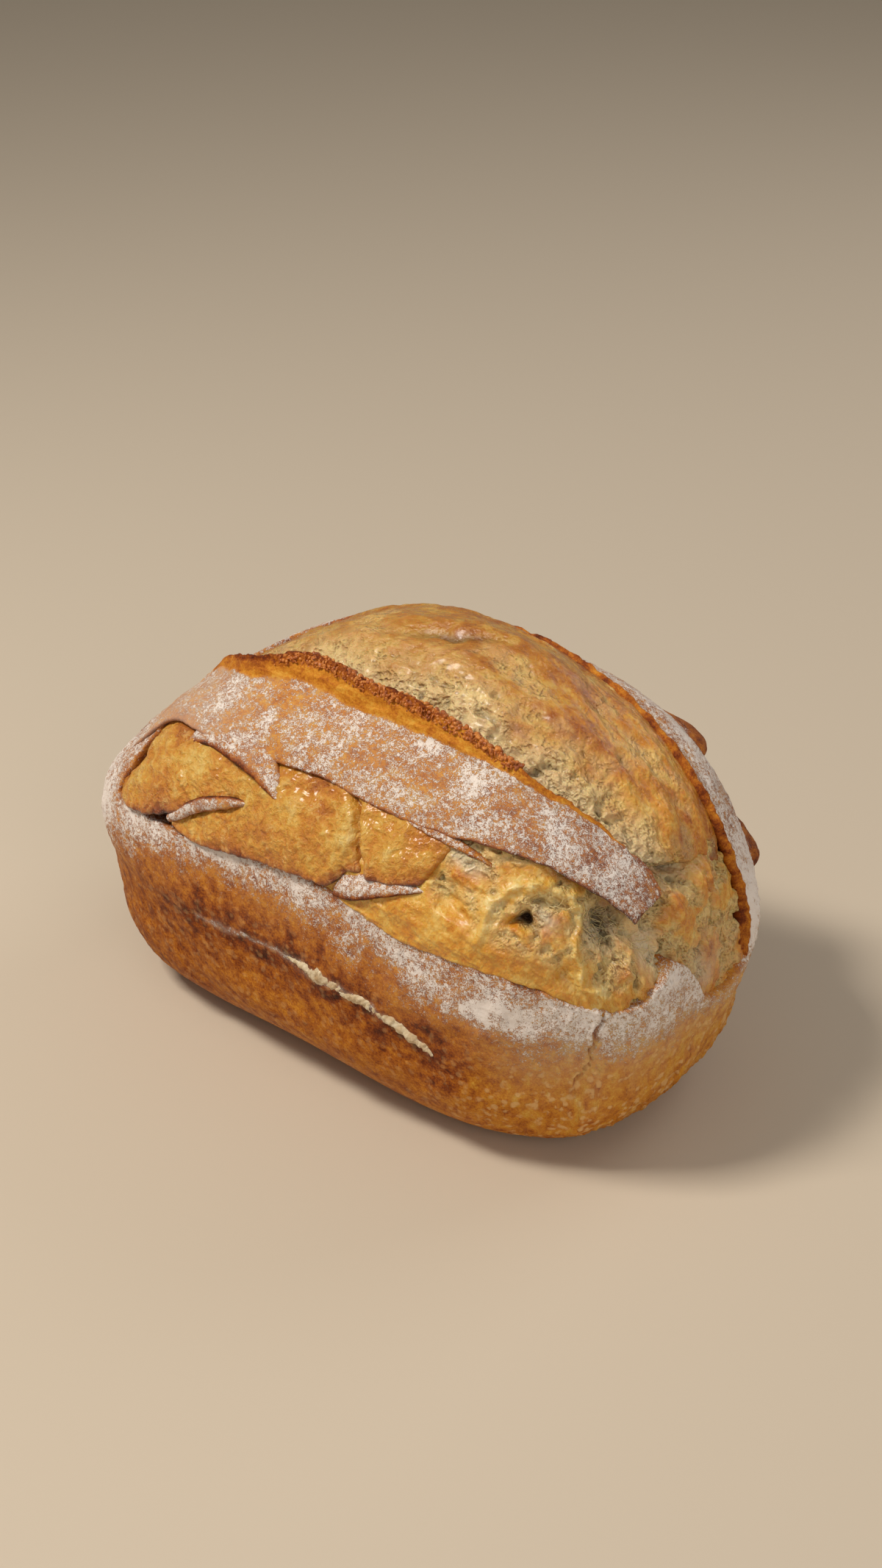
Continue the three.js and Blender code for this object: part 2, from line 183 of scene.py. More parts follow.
FLAP_LONG = [
    (22, -90, 24, -83, 0.2, 0.8, 0.4),
    (32, -88, 33, -80, 2.6, 3, 1.4),
    (42, -83.5, 43, -77.5, 3.2, 3.2, 1.8),
    (50, -79.2, 50.5, -76, 2.4, 2.4, 1.2),
    (57, -75.4, 57, -74.8, 0, 0, -0.4),
]
RIGHT_RIM = [
    (-38, 15, -46, 18, -1.6, -1.6, -1),
    (-18, 22.5, -20, 25.5, 0, 0.6, 0),
    (14, 25.2, 14, 28.4, 0, 0.9, 0.1),
    (50, 25.4, 50, 28.6, 0.1, 1.1, 0.2),
    (84, 25, 84, 28.8, 0.1, 1.3, 0.2),
    (110, 27, 112, 32, 0.1, 1.4, 0.2),
    (130, 31.5, 134, 37.5, 0, 1.2, 0),
    (143, 28, 150, 37, -1, 0.4, -1),
]
BACK_TEAR = [
    (-84, 78, -82, 80, -1, -0.4, -1),
    (-60, 70, -60, 88, 0.2, 2, 0.4),
    (-20, 68, -20, 92, 0.2, 2.6, 0.8),
    (30, 70, 30, 94, 0.2, 2.8, 1),
    (78, 74, 78, 98, 0.2, 2.6, 0.8),
    (108, 80, 106, 96, 0.2, 1.6, 0.4),
    (124, 84, 124, 88, -1, -0.6, -1),
]
BACK_EAR_LONG = [
    (-56, 63, -55, 70, -1.2, -0.4, 0),
    (-36, 60, -34, 71.5, -0.8, 0.8, 1.4),
    (-10, 58, -8, 72.5, -0.8, 1.2, 2.4),
    (16, 57, 19, 74, -0.8, 1.8, 4),
    (38, 57, 43, 77, -0.8, 3, 8),
    (54, 59, 60, 79, -0.8, 4, 12),
    (63, 63, 68, 78, -0.8, 3.2, 9.5),
    (72, 69, 73, 74, -1, 0.6, 2),
]
BACK_EAR_SHORT = [
    (78, 74, 79, 79, -1, 0, 0.8),
    (90, 74, 92, 83, -0.8, 2, 5),
    (100, 75, 103, 88, -0.8, 3.6, 9.5),
    (108, 78, 110, 87, -0.8, 3.4, 8.5),
    (116, 81, 116, 84, -1, 0.2, 1.6),
]
STREAK = [
    (2, -114.2, 2, -111.6, -0.4, -0.2, -0.4),
    (10, -115.4, 10, -111.5, -0.1, 0.3, -0.1),
    (16, -117, 16, -111.2, -0.1, 0.7, -0.1),
    (22, -119.2, 22, -111, -0.1, 1, -0.1),
    (28, -117.4, 28, -112.5, -0.1, 0.4, -0.1),
    (42, -117.8, 41, -112.6, -0.1, 0.6, -0.1),
    (52, -117.8, 52, -113.8, -0.1, 0.4, -0.1),
    (62, -119, 62, -113.8, -0.1, 0.9, -0.1),
    (80, -119.8, 80, -115.4, -0.1, 0.9, -0.1),
    (90, -119, 90, -117, -0.3, -0.2, -0.3),
]


# Arithmetic on arrays

def mix(a, b, t):
    return a + (b - a) * t


def smooth_step(low, high, value):
    t = np.clip((value - low) / (high - low), 0, 1)
    return t * t * (3 - 2 * t)


def bell(distance, reach):
    """1 at no distance, and nearly 0 past twice the reach."""
    return np.exp(-((distance / reach) ** 2))


def through_weights(count, places):
    """The weights that draw a smooth curve through count evenly spaced values."""
    place = np.clip(places, 0, 1) * (count - 1)
    index = np.minimum(np.floor(place).astype(int), count - 2)
    f = place - index
    weights = np.zeros((len(place), count))
    rows = np.arange(len(place))
    shares = (
        (-1, -0.5 * f + f * f - 0.5 * f**3),
        (0, 1 - 2.5 * f * f + 1.5 * f**3),
        (1, 0.5 * f + 2 * f * f - 1.5 * f**3),
        (2, -0.5 * f * f + 0.5 * f**3),
    )
    for offset, share in shares:
        np.add.at(weights, (rows, np.clip(index + offset, 0, count - 1)), share)
    return weights


def hashed(ix, iy, seed):
    """An even random number from 0 to 1 for each whole-numbered place."""
    h = (ix * 374761393 + iy * 668265263 + seed * 974634777) & 0xFFFFFFFF
    h = ((h ^ (h >> 13)) * 1274126177) & 0xFFFFFFFF
    h = ((h ^ (h >> 15)) * 2246822519) & 0xFFFFFFFF
    return ((h ^ (h >> 16)) & 0xFFFFFF) / 0xFFFFFF


def eased(t):
    return t * t * t * (t * (t * 6 - 15) + 10)


def waves(x, y, size, seed):
    """Smooth random hills from -1 to 1, about size millimetres apart."""
    gx, gy = x / size, y / size
    ix, iy = np.floor(gx).astype(np.int64), np.floor(gy).astype(np.int64)
    fx, fy = gx - ix, gy - iy
    sx, sy = eased(fx), eased(fy)
    total = 0.0
    for dx in (0, 1):
        for dy in (0, 1):
            angle = hashed(ix + dx, iy + dy, seed) * 2 * math.pi
            slope = np.cos(angle) * (fx - dx) + np.sin(angle) * (fy - dy)
            total = total + slope * (sx if dx else 1 - sx) * (sy if dy else 1 - sy)
    return total * 1.5


def rough(x, y, size, seed, octaves=3):
    """Hills upon hills, each half the size of the last."""
    total = 0.0
    for k in range(octaves):
        total = total + waves(x, y, size / 2**k, seed + k) * 0.5**k
    return total


def nearest_cell(x, y, size, seed):
    """Distance to the nearest of many scattered middles, as a share of size."""
    gx, gy = x / size, y / size
    ix, iy = np.floor(gx).astype(np.int64), np.floor(gy).astype(np.int64)
    near = np.full(np.shape(gx), 9.0)
    for dx in (-1, 0, 1):
        for dy in (-1, 0, 1):
            px = ix + dx + hashed(ix + dx, iy + dy, seed)
            py = iy + dy + hashed(ix + dx, iy + dy, seed + 77)
            near = np.minimum(near, np.hypot(gx - px, gy - py))
    return near


def box_blur(values, reach):
    """A grid's values averaged over reach[0] rows and reach[1] columns each way."""
    for axis, count in enumerate(reach):
        margins = [(0, 0), (0, 0)]
        margins[axis] = (count + 1, count)
        total = np.cumsum(np.pad(values, margins, mode="edge"), axis=axis)
        low = np.arange(values.shape[axis])
        span = 2 * count + 1
        values = (np.take(total, low + span, axis=axis) - np.take(total, low, axis=axis)) / span
    return values


# The loaf's form

def chart_radius(x, y):
    """1 on the loaf's widest line, 2 at the middle of its base."""
    power = np.where(x > 0, NEAR_SQUARENESS, FAR_SQUARENESS)
    along = np.abs(x) / np.where(x > 0, CHART_NEAR, CHART_FAR)
    return (along**power + (np.abs(y) / CHART_SIDE) ** power) ** (1 / power)


def plain_point(chart_x, chart_y):
    h = np.maximum(chart_radius(chart_x, chart_y), 1e-6)
    near = chart_x > 0
    length = np.where(near, NEAR_LENGTH, FAR_LENGTH)
    edge_x = length * chart_x / np.where(near, CHART_NEAR, CHART_FAR) / h
    edge_y = HALF_WIDTH * chart_y / CHART_SIDE / h
    turn = np.clip(h, 0, 1) * math.pi / 2
    spread = np.sin(turn) ** (2 / DOME_SQUARENESS)
    share = edge_x * spread / NEAR_LENGTH
    dome = DOME_HEIGHT * (1 + DOME_RISE * share + DOME_FALL * share * share)
    high = WIDEST_HEIGHT + dome * np.maximum(np.cos(turn), 0) ** (2 / DOME_SQUARENESS)
    reach = np.hypot(edge_x, edge_y)
    wall = WIDEST_HEIGHT - BASE_CORNER
    arc = BASE_CORNER * math.pi / 2
    base = reach * (1 - WALL_TAPER) - BASE_CORNER
    down = np.clip(h - 1, 0, 1) * (wall + arc + base)
    on_wall = np.minimum(down, wall)
    bend = np.clip(down - wall, 0, arc) / BASE_CORNER
    on_base = np.maximum(down - wall - arc, 0)
    radius = reach * (1 - WALL_TAPER * on_wall / wall) - BASE_CORNER * (1 - np.cos(bend)) - on_base
    low = WIDEST_HEIGHT - on_wall - BASE_CORNER * np.sin(bend)
    out = np.where(h > 1, radius / reach, spread)
    return np.stack([edge_x * out, edge_y * out, np.where(h > 1, low, high)], -1)


def swell(x, y):
    h = chart_radius(x, y)
    slow = 0.7 * np.sin(x / 21 + 1) * np.cos(y / 27) + 0.5 * np.sin(x / 13 + y / 17)
    shoulder = 2.2 * bell(h - 0.9, 0.11) * smooth_step(60, 110, -x)
    return (slow + shoulder) * (1 - smooth_step(1.28, 1.4, h))


def raised(x, y, lift):
    """Chart points raised above the plain form, in metres in the loaf's frame."""
    step = 0.6
    along_x = plain_point(x + step, y) - plain_point(x - step, y)
    along_y = plain_point(x, y + step) - plain_point(x, y - step)
    normal = np.cross(along_x, along_y)
    normal /= np.maximum(np.linalg.norm(normal, axis=-1, keepdims=True), 1e-9)
    place = plain_point(x, y) + normal * (lift + swell(x, y))[..., None]
    return (place - BOX_MIDDLE) * METRE


# Meshes from grids

def new_object(name, data):
    """An object in the scene, at the origin, with its mesh, curve, light or camera."""
    item = bpy.data.objects.new(name, data)
    bpy.context.scene.collection.objects.link(item)
    return item


def mesh_piece(name, points, faces, masks, material):
    """A mesh object with its masks as attributes, and its faces turned outwards."""
    mesh = bpy.data.meshes.new(name)
    mesh.from_pydata(points.tolist(), [], faces)
    for key, values in masks.items():
        layer = mesh.attributes.new(key, "FLOAT_VECTOR" if values.ndim == 2 else "FLOAT", "POINT")
        kind = "vector" if values.ndim == 2 else "value"
        layer.data.foreach_set(kind, np.ascontiguousarray(values, dtype=np.float32).ravel())
    mesh.polygons.foreach_set("use_smooth", np.ones(len(mesh.polygons), dtype=bool))
    mesh.materials.append(material)
    piece = new_object(name, mesh)
    work = bmesh.new()
    work.from_mesh(mesh)
    if work.calc_volume(signed=True) < 0:
        bmesh.ops.reverse_faces(work, faces=work.faces)
        work.to_mesh(mesh)
    work.free()
    mesh.update()
    return piece


def tube_faces(rows, columns):
    """Quads round a tube of points that is stored row by row, and a fan at each end.

    The fans' middles are the two points that follow the grid.
    """
    i, j = np.meshgrid(np.arange(rows - 1), np.arange(columns), indexing="ij")
    a = i * columns + j
    b = i * columns + (j + 1) % columns
    faces = np.stack([a, b, b + columns, a + columns], -1).reshape(-1, 4).tolist()
    first, last = rows * columns, (rows - 1) * columns
    for k in range(columns):
        after = (k + 1) % columns
        faces.append([first, after, k])
        faces.append([first + 1, last + k, last + after])
    return faces


def with_ends(grid):
    """A grid's values in one list, with the mean of its first row and of its last row after them."""
    flat = grid.reshape(-1, *grid.shape[2:])
    return np.concatenate([flat, grid[:1].mean(1), grid[-1:].mean(1)])


def crowded(count):
    """Places from 0 to 1 that crowd towards both ends."""
    t = np.linspace(0, 1, count)
    return mix(t, 0.5 - 0.5 * np.cos(math.pi * t), 0.6)


def rounded_drop(distance, radius):
    """How far a rounded edge falls, at a distance in from the edge."""
    near = np.clip(1 - distance / radius, 0, 1)
    return radius * (1 - np.sqrt(1 - near * near))


def ragged_edges(row, rag):
    """A sheet's left and right edges with bites out of them, its width, and its run along."""
    left, right = row[:, 0:2], row[:, 2:4]
    span = right - left
    width = np.maximum(np.linalg.norm(span, axis=1), 1e-6)
    run = np.cumsum(np.hypot(np.gradient(left[:, 0]), np.gradient(left[:, 1])))
    for edge, amount, sign, salt in ((left, rag[0], -1, 0), (right, rag[1], 1, 50)):
        bite = rough(run, run * 0 + salt, 6.0, SHEET_SEED + salt, 4) * amount
        edge += (span / width[:, None]) * bite[:, None] * sign
    return left, right, width, run


def frayed_places(left, right, width, run, fray, places):
    """Chart places across a sheet at shares of its width, frayed forwards at its far end."""
    forward = np.gradient((left + right) / 2, axis=0)
    forward /= np.maximum(np.linalg.norm(forward, axis=1, keepdims=True), 1e-6)
    x = mix(left[:, 0:1], right[:, 0:1], places[None, :])
    y = mix(left[:, 1:2], right[:, 1:2], places[None, :])
    torn = rough(places[None, :] * width[:, None], 0 * x + SHEET_SEED, 5.0, SHEET_SEED + 7, 4) * fray
    torn = torn * smooth_step(run[-1] - 14, run[-1], run)[:, None]
    return x + torn * forward[:, 0:1], y + torn * forward[:, 1:2]


def sheet(name, stations, along, across, material, relief, masks, rag=(0.4, 0.4), round_mm=1.0,
          thickness=None, ends=1.5, fray=0.0, rim_mm=1.6):
    """A closed sheet on the form, with ragged rounded edges.

    relief(x, y, u, v) gives extra lift, and masks(x, y, u, v, proud) the piece's attributes, where
    proud is how far a point stands above what is round it. A sheet without a thickness is rooted
    deep in the loaf.
    """
    table = np.array(stations, dtype=float)
    u = np.linspace(0, 1, along)
    v = crowded(across)
    row = through_weights(len(table), u) @ table
    count = table.shape[1] - 4
    left, right, width, run = ragged_edges(row, rag)
    x, y = frayed_places(left, right, width, run, fray, v)
    uu, vv = np.meshgrid(u, v, indexing="ij")
    lift = row[:, 4:] @ through_weights(count, v).T + relief(x, y, uu, vv)
    proud = lift - box_blur(lift, (max(along // 60, 3), max(across // 24, 3)))
    side = np.minimum(vv, 1 - vv) * width[:, None]
    tip = np.minimum(run - run[0], run[-1] - run)[:, None] + 0 * vv
    lift = lift - rounded_drop(side, round_mm) - rounded_drop(tip, ends)
    section = np.linspace(0.95, 0.05, 5)
    low_x, low_y = frayed_places(left, right, width, run, fray, section)
    if thickness is None:
        low = np.full_like(low_x, -ROOT_DEPTH)
    else:
        low = row[:, 4:] @ through_weights(count, section).T
        low = low - np.minimum(thickness, 0.5 * width)[:, None] * np.array([0.8, 1, 1, 1, 0.8])
    points = np.concatenate([raised(x, y, lift), raised(low_x, low_y, low)], 1)
    layers = {"chart": np.stack([x, y, lift], -1) * CHART_UNIT}
    layers["rim"] = np.exp(-np.minimum(side, tip + 0.4) / rim_mm)
    for key, values in masks(x, y, uu, vv, proud).items():
        layers[key] = np.clip(values + 0 * uu, 0, 1)
    nearest = [-1, -1, across // 2, 0, 0]
    for key, values in layers.items():
        layers[key] = with_ends(np.concatenate([values, values[:, nearest]], 1))
    return mesh_piece(name, with_ends(points), tube_faces(along, across + len(section)), layers, material)


# Node helpers

def new_material(name):
    material = bpy.data.materials.new(name)
    material.use_nodes = True
    tree = material.node_tree
    tree.nodes.clear()
    output = tree.nodes.new("ShaderNodeOutputMaterial")
    shader = tree.nodes.new("ShaderNodeBsdfPrincipled")
    tree.links.new(shader.outputs[0], output.inputs[0])
    return material, tree, shader


def set_or_join(tree, node, inputs):
    """Sets a node's inputs to values, or joins them to sockets."""
    for key, value in inputs.items():
        if isinstance(value, bpy.types.NodeSocket):
            tree.links.new(value, node.inputs[key])
        else:
            node.inputs[key].default_value = value


def add(tree, kind, inputs=None, **settings):
    """A node with its settings and inputs."""
    node = tree.nodes.new(kind)
    for key, value in settings.items():
        setattr(node, key, value)
    set_or_join(tree, node, inputs or {})
    return node


def math_node(tree, operation, a, b=0.0, clamp=False):
    return add(tree, "ShaderNodeMath", {0: a, 1: b}, operation=operation, use_clamp=clamp).outputs[0]


def weighted(tree, *terms):
    """The sum of (socket, weight, centre) terms, each being (socket - centre) * weight."""
    total = None
    for socket, weight, centre in terms:
        term = add(tree, "ShaderNodeMath", {0: socket, 1: weight, 2: -weight * centre},
                   operation="MULTIPLY_ADD").outputs[0]
        total = term if total is None else math_node(tree, "ADD", total, term)
    return total


def ranged(tree, value, low, high, out_low=0.0, out_high=1.0):
    """The value's place between low and high, eased, on another range."""
    inputs = {"Value": value, "From Min": low, "From Max": high, "To Min": out_low, "To Max": out_high}
    return add(tree, "ShaderNodeMapRange", inputs, interpolation_type="SMOOTHSTEP").outputs[0]


def multiplied(tree, a, b):
    return math_node(tree, "MULTIPLY", a, b)


def blended(tree, share, a, b):
    return add(tree, "ShaderNodeMix", {0: share, 6: a, 7: b}, data_type="RGBA").outputs[2]


def noise(tree, vector, scale, detail=4.0, roughness=0.55, distortion=0.0, output="Fac"):
    inputs = {"Vector": vector, "Scale": scale, "Detail": detail, "Roughness": roughness,
              "Distortion": distortion}
    return add(tree, "ShaderNodeTexNoise", inputs).outputs[output]


def attribute(tree, name, output="Fac"):
    return add(tree, "ShaderNodeAttribute", attribute_name=name).outputs[output]


def colour_ramp(tree, value, stops):
    node = add(tree, "ShaderNodeValToRGB", {0: value})
    ramp = node.color_ramp
    while len(ramp.elements) < len(stops):
        ramp.elements.new(0.5)
    for element, (place, colour) in zip(ramp.elements, stops):
        element.position = place
        element.color = srgb(*colour)
    return node.outputs[0]


def srgb(red, green, blue):
    """A colour from its 0 to 255 screen values, as the linear values that shaders use."""
    def linear(value):
        share = value / 255
        return share / 12.92 if share <= 0.04045 else ((share + 0.055) / 1.055) ** 2.4
    return (linear(red), linear(green), linear(blue), 1.0)


def new_group(name, inputs, output):
    """A shader node group with inputs of (name, socket type, default) and one (name, type) output."""
    tree = bpy.data.node_groups.new(name, "ShaderNodeTree")
    for socket_name, kind, default in inputs:
        socket = tree.interface.new_socket(socket_name, in_out="INPUT", socket_type=kind)
        if default is not None:
            socket.default_value = default
    tree.interface.new_socket(output[0], in_out="OUTPUT", socket_type=output[1])
    return tree, tree.nodes.new("NodeGroupInput"), tree.nodes.new("NodeGroupOutput")


def use_group(tree, group, inputs):
    """The output of a shared effect. Each effect has one."""
    return add(tree, "ShaderNodeGroup", inputs, node_tree=group).outputs[0]


# Colours of the loaf, as 0 to 255 screen values

FLOUR_WHITE = (244, 236, 230)
POWDERED_CRUST = (214, 186, 166)
BLISTER_TAN = (230, 186, 126)
# Painted highlight colour for the crests of the golden skin
SKIN_CREST_HIGHLIGHT = (246, 214, 140)
# Painted highlight colour for the crests of the torn crumb
CRUMB_CREST_HIGHLIGHT = (248, 216, 130)
CRUMB_VEIL = (236, 208, 146)
PORE_SHADE = (172, 122, 66)
GREY_CRUMB = (216, 202, 174)
HOLLOW_SHADE = (78, 50, 28)
BAKED_STOPS = [
    (0.0, (232, 214, 158)), (0.15, (226, 188, 102)), (0.3, (216, 160, 60)), (0.45, (204, 132, 36)),
    (0.6, (176, 100, 25)), (0.75, (132, 60, 14)), (0.88, (88, 36, 10)), (1.0, (52, 22, 9)),
]
PASTE_STOPS = [(0.3, (196, 164, 122)), (0.5, (226, 204, 168)), (0.7, (240, 226, 198))]
BEAD_STOPS = [(0.3, (128, 58, 18)), (0.5, (176, 96, 32)), (0.7, (216, 142, 62))]
MEMBRANE_STOPS = [(0.3, (206, 166, 96)), (0.6, (238, 214, 160))]


# Shared surface effects

def flour_group():
    """Where dry flour lies: frosty flecks that close up as the amount rises past a half."""
    tree, given, made = new_group(
        "flour dust",
        [("Vector", "NodeSocketVector", None), ("Amount", "NodeSocketFloat", 0.5),
         ("Fleck Scale", "NodeSocketFloat", 7.5)],
        ("Mask", "NodeSocketFloat"),
    )
    vector, amount, scale = (given.outputs[key] for key in ("Vector", "Amount", "Fleck Scale"))
    patches = noise(tree, vector, 0.7, 3.0, 0.6, 0.3)
    flecks = noise(tree, vector, scale, 6.0, 0.74, 0.5)
    grain = noise(tree, vector, multiplied(tree, scale, 3.6), 4.0, 0.85)
    level = weighted(tree, (patches, 1.2, 0.5), (flecks, 2.8, 0.5), (grain, 3.4, 0.5), (amount, 1.6, 0.5))
    film = ranged(tree, amount, 0.05, 1.0, 0.0, 0.06)
    mask = multiplied(tree, ranged(tree, level, 0.03, 0.2), ranged(tree, amount, 0.02, 0.2))
    tree.links.new(math_node(tree, "MAXIMUM", mask, film), made.inputs["Mask"])
    return tree


def baked_group():
    """The colour of baked dough from pale to nearly black, mottled."""
    tree, given, made = new_group(
        "baked colour",
        [("Vector", "NodeSocketVector", None), ("Bake", "NodeSocketFloat", 0.5),
         ("Mottle", "NodeSocketFloat", 0.3), ("Mottle Scale", "NodeSocketFloat", 1.2)],
        ("Color", "NodeSocketColor"),
    )
    vector, scale = given.outputs["Vector"], given.outputs["Mottle Scale"]
    slow = noise(tree, vector, scale, 5.0, 0.62, 0.2)
    fine = noise(tree, vector, multiplied(tree, scale, 6.0), 5.0, 0.75, 0.2)
    swing = weighted(tree, (slow, 1.9, 0.5), (fine, 1.8, 0.5))
    level = multiplied(tree, swing, given.outputs["Mottle"])
    level = math_node(tree, "ADD", level, given.outputs["Bake"], clamp=True)
    tree.links.new(colour_ramp(tree, level, BAKED_STOPS), made.inputs["Color"])
    return tree


def relief_group():
    """Fine relief of baked dough: soft hills, stretched fibres and grain."""
    tree, given, made = new_group(
        "dough relief",
        [("Vector", "NodeSocketVector", None), ("Scale", "NodeSocketFloat", 4.0),
         ("Fibres", "NodeSocketFloat", 0.5)],
        ("Height", "NodeSocketFloat"),
    )
    vector, scale = given.outputs["Vector"], given.outputs["Scale"]
    soft = noise(tree, vector, scale, 7.0, 0.66, 0.1)
    folded = noise(tree, vector, multiplied(tree, scale, 1.5), 3.0, 0.55, 0.5)
    crest = math_node(tree, "ABSOLUTE", math_node(tree, "SUBTRACT", folded, 0.5))
    grain = noise(tree, vector, multiplied(tree, scale, 7.0), 3.0, 0.75)
    fibres = multiplied(tree, crest, given.outputs["Fibres"])
    height = weighted(tree, (soft, 1.0, 0.0), (fibres, -2.4, 0.0), (grain, 0.3, 0.0))
    tree.links.new(height, made.inputs["Height"])
    return tree


def pores_group():
    """Open pores in torn crumb, 1 on the walls and falling into each pore."""
    tree, given, made = new_group(
        "open pores",
        [("Vector", "NodeSocketVector", None), ("Scale", "NodeSocketFloat", 5.0)],
        ("Height", "NodeSocketFloat"),
    )
    vector, scale = given.outputs["Vector"], given.outputs["Scale"]
    bend = noise(tree, vector, 3.0, 3.0, 0.6, 0.0, "Color")
    bend = add(tree, "ShaderNodeVectorMath", {0: bend, 1: (0.22, 0.22, 0.22)}, operation="MULTIPLY")
    bent = add(tree, "ShaderNodeVectorMath", {0: vector, 1: bend.outputs[0]}, operation="ADD").outputs[0]
    heights = []
    for share in (1.0, 2.3):
        inputs = {"Vector": bent, "Scale": multiplied(tree, scale, share), "Randomness": 1.0}
        pore = add(tree, "ShaderNodeTexVoronoi", inputs, feature="SMOOTH_F1")
        heights.append(ranged(tree, pore.outputs["Distance"], 0.1, 0.62))
    patch = noise(tree, vector, 2.2, 2.0, 0.5)
    height = blended(tree, ranged(tree, patch, 0.42, 0.58), heights[0], heights[1])
    tree.links.new(height, made.inputs["Height"])
    return tree


FLOUR = flour_group()
BAKED = baked_group()
RELIEF = relief_group()
PORES = pores_group()


# Materials

def bumped(tree, shader, height, strength, distance):
    bump = add(tree, "ShaderNodeBump", {"Height": height, "Strength": strength, "Distance": distance})
    tree.links.new(bump.outputs[0], shader.inputs["Normal"])


def painted_relief_shading(tree, bake, height, low, high, swing):
    """Painted shade and painted highlight: bake made browner where the relief is low, and paler on its
    crests.
    """
    return weighted(tree, (bake, 1.0, 0.0), (ranged(tree, height, low, high, swing, -swing), 1.0, 0.0))


def floured_crust_material():
    """Crust: bake gives its brown, flour the white dust, rim the browner edges."""
    material, tree, shader = new_material("floured crust")
    chart = attribute(tree, "chart", "Vector")
    rim = attribute(tree, "rim")
    bake = weighted(tree, (attribute(tree, "bake"), 1.0, 0.0), (rim, 0.1, 0.0))
    baked = use_group(tree, BAKED, {"Vector": chart, "Bake": bake, "Mottle": 0.42, "Mottle Scale": 2.6})
    amount = weighted(tree, (attribute(tree, "flour"), 1.0, 0.0), (rim, -0.35, 0.0))
    mask = use_group(tree, FLOUR, {"Vector": chart, "Amount": amount})
    pebble = add(tree, "ShaderNodeTexVoronoi", {"Vector": chart, "Scale": 4.4}, feature="SMOOTH_F1")
    grouped = ranged(tree, noise(tree, chart, 1.8, 3.0, 0.6), 0.4, 0.54)
    blister = multiplied(tree, ranged(tree, pebble.outputs["Distance"], 0.42, 0.24), grouped)
    blister = multiplied(tree, blister, attribute(tree, "blister"))
    colour = blended(tree, attribute(tree, "powder"), baked, srgb(*POWDERED_CRUST))
    colour = blended(tree, multiplied(tree, blister, 0.7), colour, srgb(*BLISTER_TAN))
    colour = blended(tree, multiplied(tree, mask, 0.88), colour, srgb(*FLOUR_WHITE))
    relief = use_group(tree, RELIEF, {"Vector": chart, "Scale": 7.0, "Fibres": 0.15})
    height = weighted(tree, (relief, 1.0, 0.0), (mask, 0.4, 0.0), (blister, 0.6, 0.0))
    bumped(tree, shader, height, 0.8, 0.0005)
    set_or_join(tree, shader, {
        "Base Color": colour, "Roughness": ranged(tree, mask, 0.0, 0.6, 0.5, 0.92),
        "Specular IOR Level": 0.16,
    })
    return material


def golden_skin_material():
    """Stretched skin that baked golden and glossy, paler where it came out last, with painted highlights on
    its crests and painted shade in its low folds.
    """
    material, tree, shader = new_material("golden skin")
    chart = attribute(tree, "chart", "Vector")
    relief = use_group(tree, RELIEF, {"Vector": chart, "Scale": 2.2, "Fibres": 0.5})
    bake = weighted(tree, (attribute(tree, "bake"), 1.0, 0.0), (attribute(tree, "rim"), 0.26, 0.0))
    # Painted shade in the relief's low places and painted highlight on its crests
    bake = painted_relief_shading(tree, bake, relief, 0.42, 0.7, 0.07)
    baked = use_group(tree, BAKED, {"Vector": chart, "Bake": bake, "Mottle": 0.17, "Mottle Scale": 0.6})
    # Share of painted highlight on the crests of the relief
    crest = ranged(tree, relief, 0.62, 0.8, 0.0, 0.35)
    bumped(tree, shader, relief, 0.9, 0.0016)
    set_or_join(tree, shader, {
        "Base Color": blended(tree, crest, baked, srgb(*SKIN_CREST_HIGHLIGHT)),
        "Roughness": ranged(tree, noise(tree, chart, 3.0, 4.0, 0.65), 0.35, 0.65, 0.22, 0.46),
        "Coat Weight": 0.4, "Coat Roughness": 0.2, "Subsurface Weight": 0.1, "Subsurface Scale": 0.004,
    })
    return material


